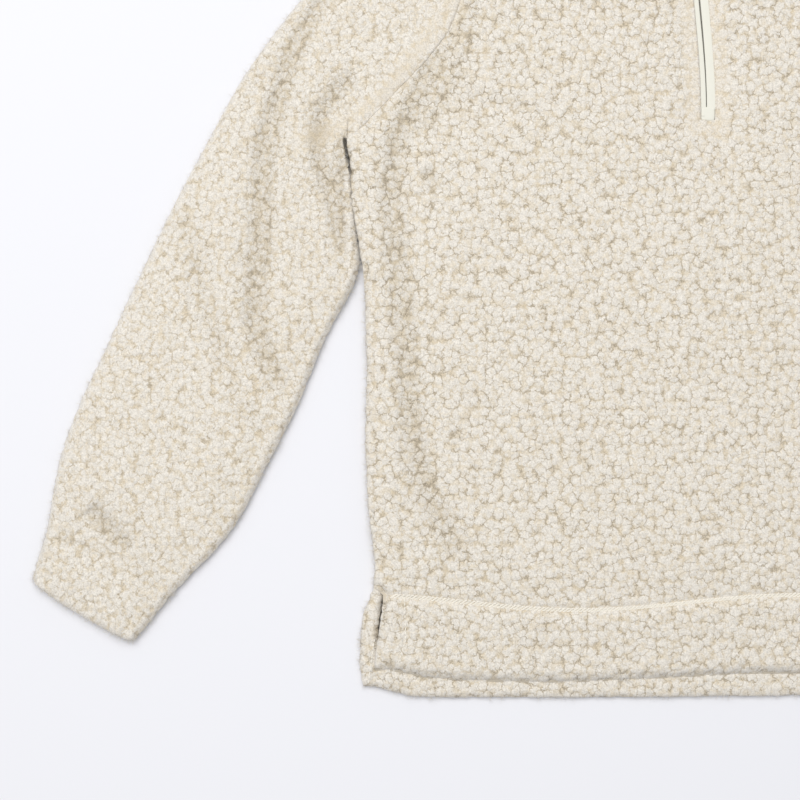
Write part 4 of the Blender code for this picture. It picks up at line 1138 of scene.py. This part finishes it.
def fuzz(name, piece, count, seed, material):
    """Loose fibres: thin tapered hairs that bend over as they leave the pile, half of them on the rims.

    With t from 0 at the root, a hair's middle is its length times (t out + 0.6 t squared aside).
    """
    chance = np.random.default_rng(seed)
    vertices = piece.data.vertices
    places, facing = np.zeros((2, len(vertices) * 3))
    vertices.foreach_get("co", places)
    vertices.foreach_get("normal", facing)
    places, facing = places.reshape(-1, 3), facing.reshape(-1, 3)
    rim = np.flatnonzero((np.abs(facing[:, 2]) < 0.4) & (places[:, 2] < 0.009))
    shown = np.flatnonzero(facing[:, 2] > -0.3)
    roots = np.concatenate([chance.choice(rim, count // 2), chance.choice(shown, count // 2)])
    angle = chance.uniform(0.0, 2 * np.pi, len(roots))
    level = np.zeros(len(roots))
    out = facing[roots] * 0.9 + np.stack([np.cos(angle), np.sin(angle), level], axis=-1) * 0.8
    out /= np.linalg.norm(out, axis=1, keepdims=True)
    aside = np.stack([-out[:, 1], out[:, 0], level], axis=-1) * chance.choice((-1, 1), len(roots))[:, None]
    size = chance.uniform(*FIBRE_LENGTH, len(roots)) * MM
    t = np.linspace(0.0, 1.0, 4)[:, None]
    bend = out[:, None] * t + aside[:, None] * 0.6 * t ** 2
    middles = places[roots][:, None] + bend * size[:, None, None]
    middles[..., 2] = np.maximum(middles[..., 2], 0.0003)
    turn = np.radians((0, 120, 240))[:, None]
    around = aside[:, None] * np.cos(turn) + np.cross(out, aside)[:, None] * np.sin(turn)
    radius = FIBRE_RADIUS * MM * (1.0 - 0.7 * t)
    return strands(name, middles, around[:, None] * radius[..., None], material)


def sewing():
    """The hem's four rows of stitches, those of the vents, and the loose fibres."""
    objects = bpy.data.objects
    thread = plain_fibre("polyester_thread", bpy.context.scene.pullover_zip.thread, 0.8, 1.4)
    fibre = plain_fibre("polyester_fibre", bpy.context.scene.pullover_cloth.tip, 0.95, 0.8)
    x = np.linspace(-254.0, 254.0, 120)
    front, back = [objects["front_cloth"]], [objects["back_cloth"], objects["front_cloth"]]
    hem = [np.stack([x + 0.37 * STITCH_PITCH * k, hem_stitch_y(x) + beside], axis=-1)
           for k, beside in enumerate(HEM_ROWS)]
    stitching("hem_stitches", front, hem, thread)
    for name, pieces, groove in (("front_vent_stitches", front, FRONT_GROOVES[0]),
                                 ("back_vent_stitches", back, BACK_GROOVES[1])):
        stitching(name, pieces, [np.array(groove.points) * (side, 1.0) for side in (1.0, -1.0)], thread)
    for k, (name, count) in enumerate(FIBRES.items()):
        fuzz("fibres_on_" + name, objects[name], count, k + 1, fibre)


def zip_tape(name, side, material):
    """One tape: a closed strip with a rounded oblong section, further from its twin as it rises."""
    y = np.linspace(TAPE_END_Y - 2.0, TAPE_TOP_Y, 121)[:, None]
    turn = np.linspace(0.0, 2 * np.pi, 29)[:-1]
    wide, high = (np.sign(wave) * np.abs(wave) ** power
                  for wave, power in ((np.cos(turn), 0.35), (np.sin(turn), 0.5)))
    gap = TAPE_GAP[0] + (TAPE_GAP[1] - TAPE_GAP[0]) * smooth((y - TAPE_END_Y) / 85.0)
    x = zip_x(y) + side * ((gap + TAPE_EDGE) / 2 + (TAPE_EDGE - gap) / 2 * wide)
    z = TAPE_Z - TAPE_WALL / 2 + TAPE_WALL / 2 * high
    points = np.stack(np.broadcast_arrays(x, y - MIDDLE_Y, z), axis=-1) * MM
    return strands(name + "_woven", np.zeros((1, len(y), 3)), points[None], material, name)


def zip_coils(material):
    """The nylon coils under both tapes: helices whose turns interlock behind the zip's middle."""
    turns = (TAPE_TOP_Y - TAPE_END_Y) / COIL_PITCH
    angle = np.linspace(0.0, 2 * np.pi * turns, int(turns * 10))
    y = TAPE_END_Y + angle / (2 * np.pi) * COIL_PITCH
    turn = np.radians(np.arange(0, 360, 72))[:, None]
    middles, sections = [], []
    for side in (-1.0, 1.0):
        middle = np.stack([zip_x(y) + side * (COIL_ASIDE + COIL_RADIUS * np.cos(angle)),
                           y + (0.5 + side * 0.25) * COIL_PITCH - MIDDLE_Y,
                           COIL_Z + 0.6 * COIL_RADIUS * np.sin(angle)], axis=-1)
        way = np.gradient(middle, axis=0)
        way /= np.linalg.norm(way, axis=1, keepdims=True)
        first = np.cross(way, (0.0, 1.0, 0.0))
        first /= np.linalg.norm(first, axis=1, keepdims=True)
        middles.append(middle)
        sections.append(first[:, None] * np.cos(turn) + np.cross(way, first)[:, None] * np.sin(turn))
    middles, sections = np.array(middles) * MM, np.array(sections) * COIL_WIRE * MM
    return strands("zip_coils", middles, sections, material)


def zip_end(material):
    """The cloth tab that ends the zip: a pad of height ((1 - u to the 6th)(1 - v to the 6th)) to the 0.4."""
    u, v = np.meshgrid(np.linspace(-1.0, 1.0, TAB_POINTS), np.linspace(-1.0, 1.0, TAB_POINTS))
    height = ((1.0 - u ** 6) * (1.0 - v ** 6)) ** 0.4
    x = TAB_X + (TAB_HALF - TAB_TAPER * np.maximum(-v, 0.0) ** 3) * u
    y = (TAB_Y[0] + TAB_Y[1]) / 2 + (TAB_Y[1] - TAB_Y[0]) / 2 * v * (1.0 - 0.06 * u ** 4) - MIDDLE_Y
    top = np.stack([x, y, TAB_Z + TAB_RISE * height], axis=-1).reshape(-1, 3)
    under = np.stack([x, y, TAB_Z - TAB_SINK * height], axis=-1)[1:-1, 1:-1].reshape(-1, 3)
    index = np.arange(len(top)).reshape(TAB_POINTS, TAB_POINTS)
    below = index.copy()
    below[1:-1, 1:-1] = len(top) + np.arange(len(under)).reshape(TAB_POINTS - 2, TAB_POINTS - 2)
    faces = [np.stack([g[:-1, :-1], g[:-1, 1:], g[1:, 1:], g[1:, :-1]], axis=-1).reshape(-1, 4)
             for g in (index, below[:, ::-1])]
    piece = mesh_object("zip_end_cloth", np.concatenate([top, under]) * MM, faces, [material])
    return finish_piece(piece, "zip_end_tab")


class PULLOVER_OT_back(Operator):
    """Make the back"""

    bl_idname = "pullover.back"
    bl_label = "Back"

    def execute(self, context):
        back_panel()
        return {"FINISHED"}


class PULLOVER_OT_front(Operator):
    """Make the front with its hem and zip slot"""

    bl_idname = "pullover.front"
    bl_label = "Front"

    def execute(self, context):
        front_panel()
        return {"FINISHED"}


class PULLOVER_OT_sleeves(Operator):
    """Make both sleeves with their cuffs"""

    bl_idname = "pullover.sleeves"
    bl_label = "Sleeves and cuffs"

    def execute(self, context):
        sleeve_pair("right", -1.0, RIGHT_SLEEVE_FOLDS, RIGHT_SLEEVE_CREASES)
        sleeve_pair("left", 1.0, LEFT_SLEEVE_FOLDS, LEFT_SLEEVE_CREASES)
        return {"FINISHED"}


class PULLOVER_OT_collar(Operator):
    """Make the stand-up collar"""

    bl_idname = "pullover.collar"
    bl_label = "Collar"

    def execute(self, context):
        collar()
        return {"FINISHED"}


class PULLOVER_OT_sewing(Operator):
    """Sew the hem and the vents, and add the loose fibres"""

    bl_idname = "pullover.sewing"
    bl_label = "Sewing and loose fibres"

    def execute(self, context):
        sewing()
        return {"FINISHED"}


class PULLOVER_OT_zip(Operator):
    """Make the zip's tapes, and finish its end, slider and pull"""

    bl_idname = "pullover.zip"
    bl_label = "Zip"

    def execute(self, context):
        zips = context.scene.pullover_zip
        tape = tape_material(zips)
        zip_tape("zip_tape_right", -1.0, tape)
        zip_tape("zip_tape_left", 1.0, tape)
        zip_end(tape)
        zip_coils(plain_fibre("nylon_coil", zips.coil, 0.45, 0.8))
        metal = painted_metal(zips)
        for name in ("zip_slider", "zip_pull"):
            node = frame["nodes"][name]
            node.data.materials.clear()
            node.data.materials.append(metal)
        return {"FINISHED"}


class PULLOVER_OT_stage(Operator):
    """Set up the floor, the light and the camera"""

    bl_idname = "pullover.stage"
    bl_label = "Floor, light and camera"

    def execute(self, context):
        stage = context.scene.pullover_stage
        floor_and_light(context.scene, stage)
        camera_above(context.scene, stage)
        return {"FINISHED"}


def floor_and_light(scene, stage):
    """A pale board, even sky light and one large soft box above, to the upper left."""
    board, _ = new_material("pale_studio_board", {"Base Color": (*stage.floor, 1.0), "Roughness": 0.9,
                                                  "Specular IOR Level": 0.1})
    corners = FLOOR_HALF * np.array([(-1, -1, 0), (1, -1, 0), (1, 1, 0), (-1, 1, 0)])
    corners[:, 2] = -FLOOR_DEPTH
    mesh_object("floor", corners, [np.array([[0, 1, 2, 3]])], [board])
    world = bpy.data.worlds.new("studio_sky")
    world.use_nodes = True
    sky = world.node_tree.nodes["Background"]
    sky.inputs["Color"].default_value = (*stage.sky, 1.0)
    sky.inputs["Strength"].default_value = stage.sky_strength
    scene.world = world
    lamp = bpy.data.lights.new("soft_box", "AREA")
    lamp.shape = "RECTANGLE"
    lamp.size, lamp.size_y = 2.8, 2.2
    lamp.energy = stage.soft_box
    light = bpy.data.objects.new("soft_box", lamp)
    light.location = (-0.65, 0.8, 2.8)
    aim = Vector((-0.2, -0.1, 0.0)) - light.location
    light.rotation_euler = aim.to_track_quat("-Z", "Y").to_euler()
    scene.collection.objects.link(light)
    scene.view_settings.view_transform = "Standard"


def camera_above(scene, stage):
    """A camera that looks straight down on the wearer's right side of the body and that sleeve."""
    data = bpy.data.cameras.new("camera")
    camera = bpy.data.objects.new("camera", data)
    data.sensor_width = 36.0
    data.lens = 36.0 * stage.camera_height / stage.view_width
    camera.location = (-0.2456, -0.1378, stage.camera_height + 0.012)
    scene.collection.objects.link(camera)
    scene.camera = camera


class VIEW3D_PT_pullover(Panel):
    """Lists the pieces' operators with their sizes and colours"""

    bl_label = "Pullover"
    bl_space_type = "VIEW_3D"
    bl_region_type = "UI"
    bl_category = "Pullover"

    def draw(self, context):
        for group in ("pullover_cloth", "pullover_zip", "pullover_stage"):
            settings = getattr(context.scene, group)
            box = self.layout.box()
            for name in settings.bl_rna.properties.keys():
                if name not in {"rna_type", "name"}:
                    box.prop(settings, name)
        for name in STEPS:
            self.layout.operator("pullover." + name)


STEPS = ("back", "front", "sleeves", "collar", "sewing", "zip", "stage")
GROUPS = {"pullover_cloth": PulloverCloth, "pullover_zip": PulloverZip, "pullover_stage": PulloverStage}
CLASSES = (
    *GROUPS.values(), PULLOVER_OT_back, PULLOVER_OT_front, PULLOVER_OT_sleeves, PULLOVER_OT_collar,
    PULLOVER_OT_sewing, PULLOVER_OT_zip, PULLOVER_OT_stage, VIEW3D_PT_pullover,
)


def register():
    """Register the classes and hang the settings on the scene."""
    for item in CLASSES:
        bpy.utils.register_class(item)
    for name, group in GROUPS.items():
        setattr(bpy.types.Scene, name, PointerProperty(type=group))


def unregister():
    """Take the settings and the classes away."""
    for name in GROUPS:
        delattr(bpy.types.Scene, name)
    for item in reversed(CLASSES):
        bpy.utils.unregister_class(item)


def main():
    """Make every piece and the stage."""
    register()
    for name in STEPS:
        getattr(bpy.ops.pullover, name)()


if __name__ == "__main__":
    main()
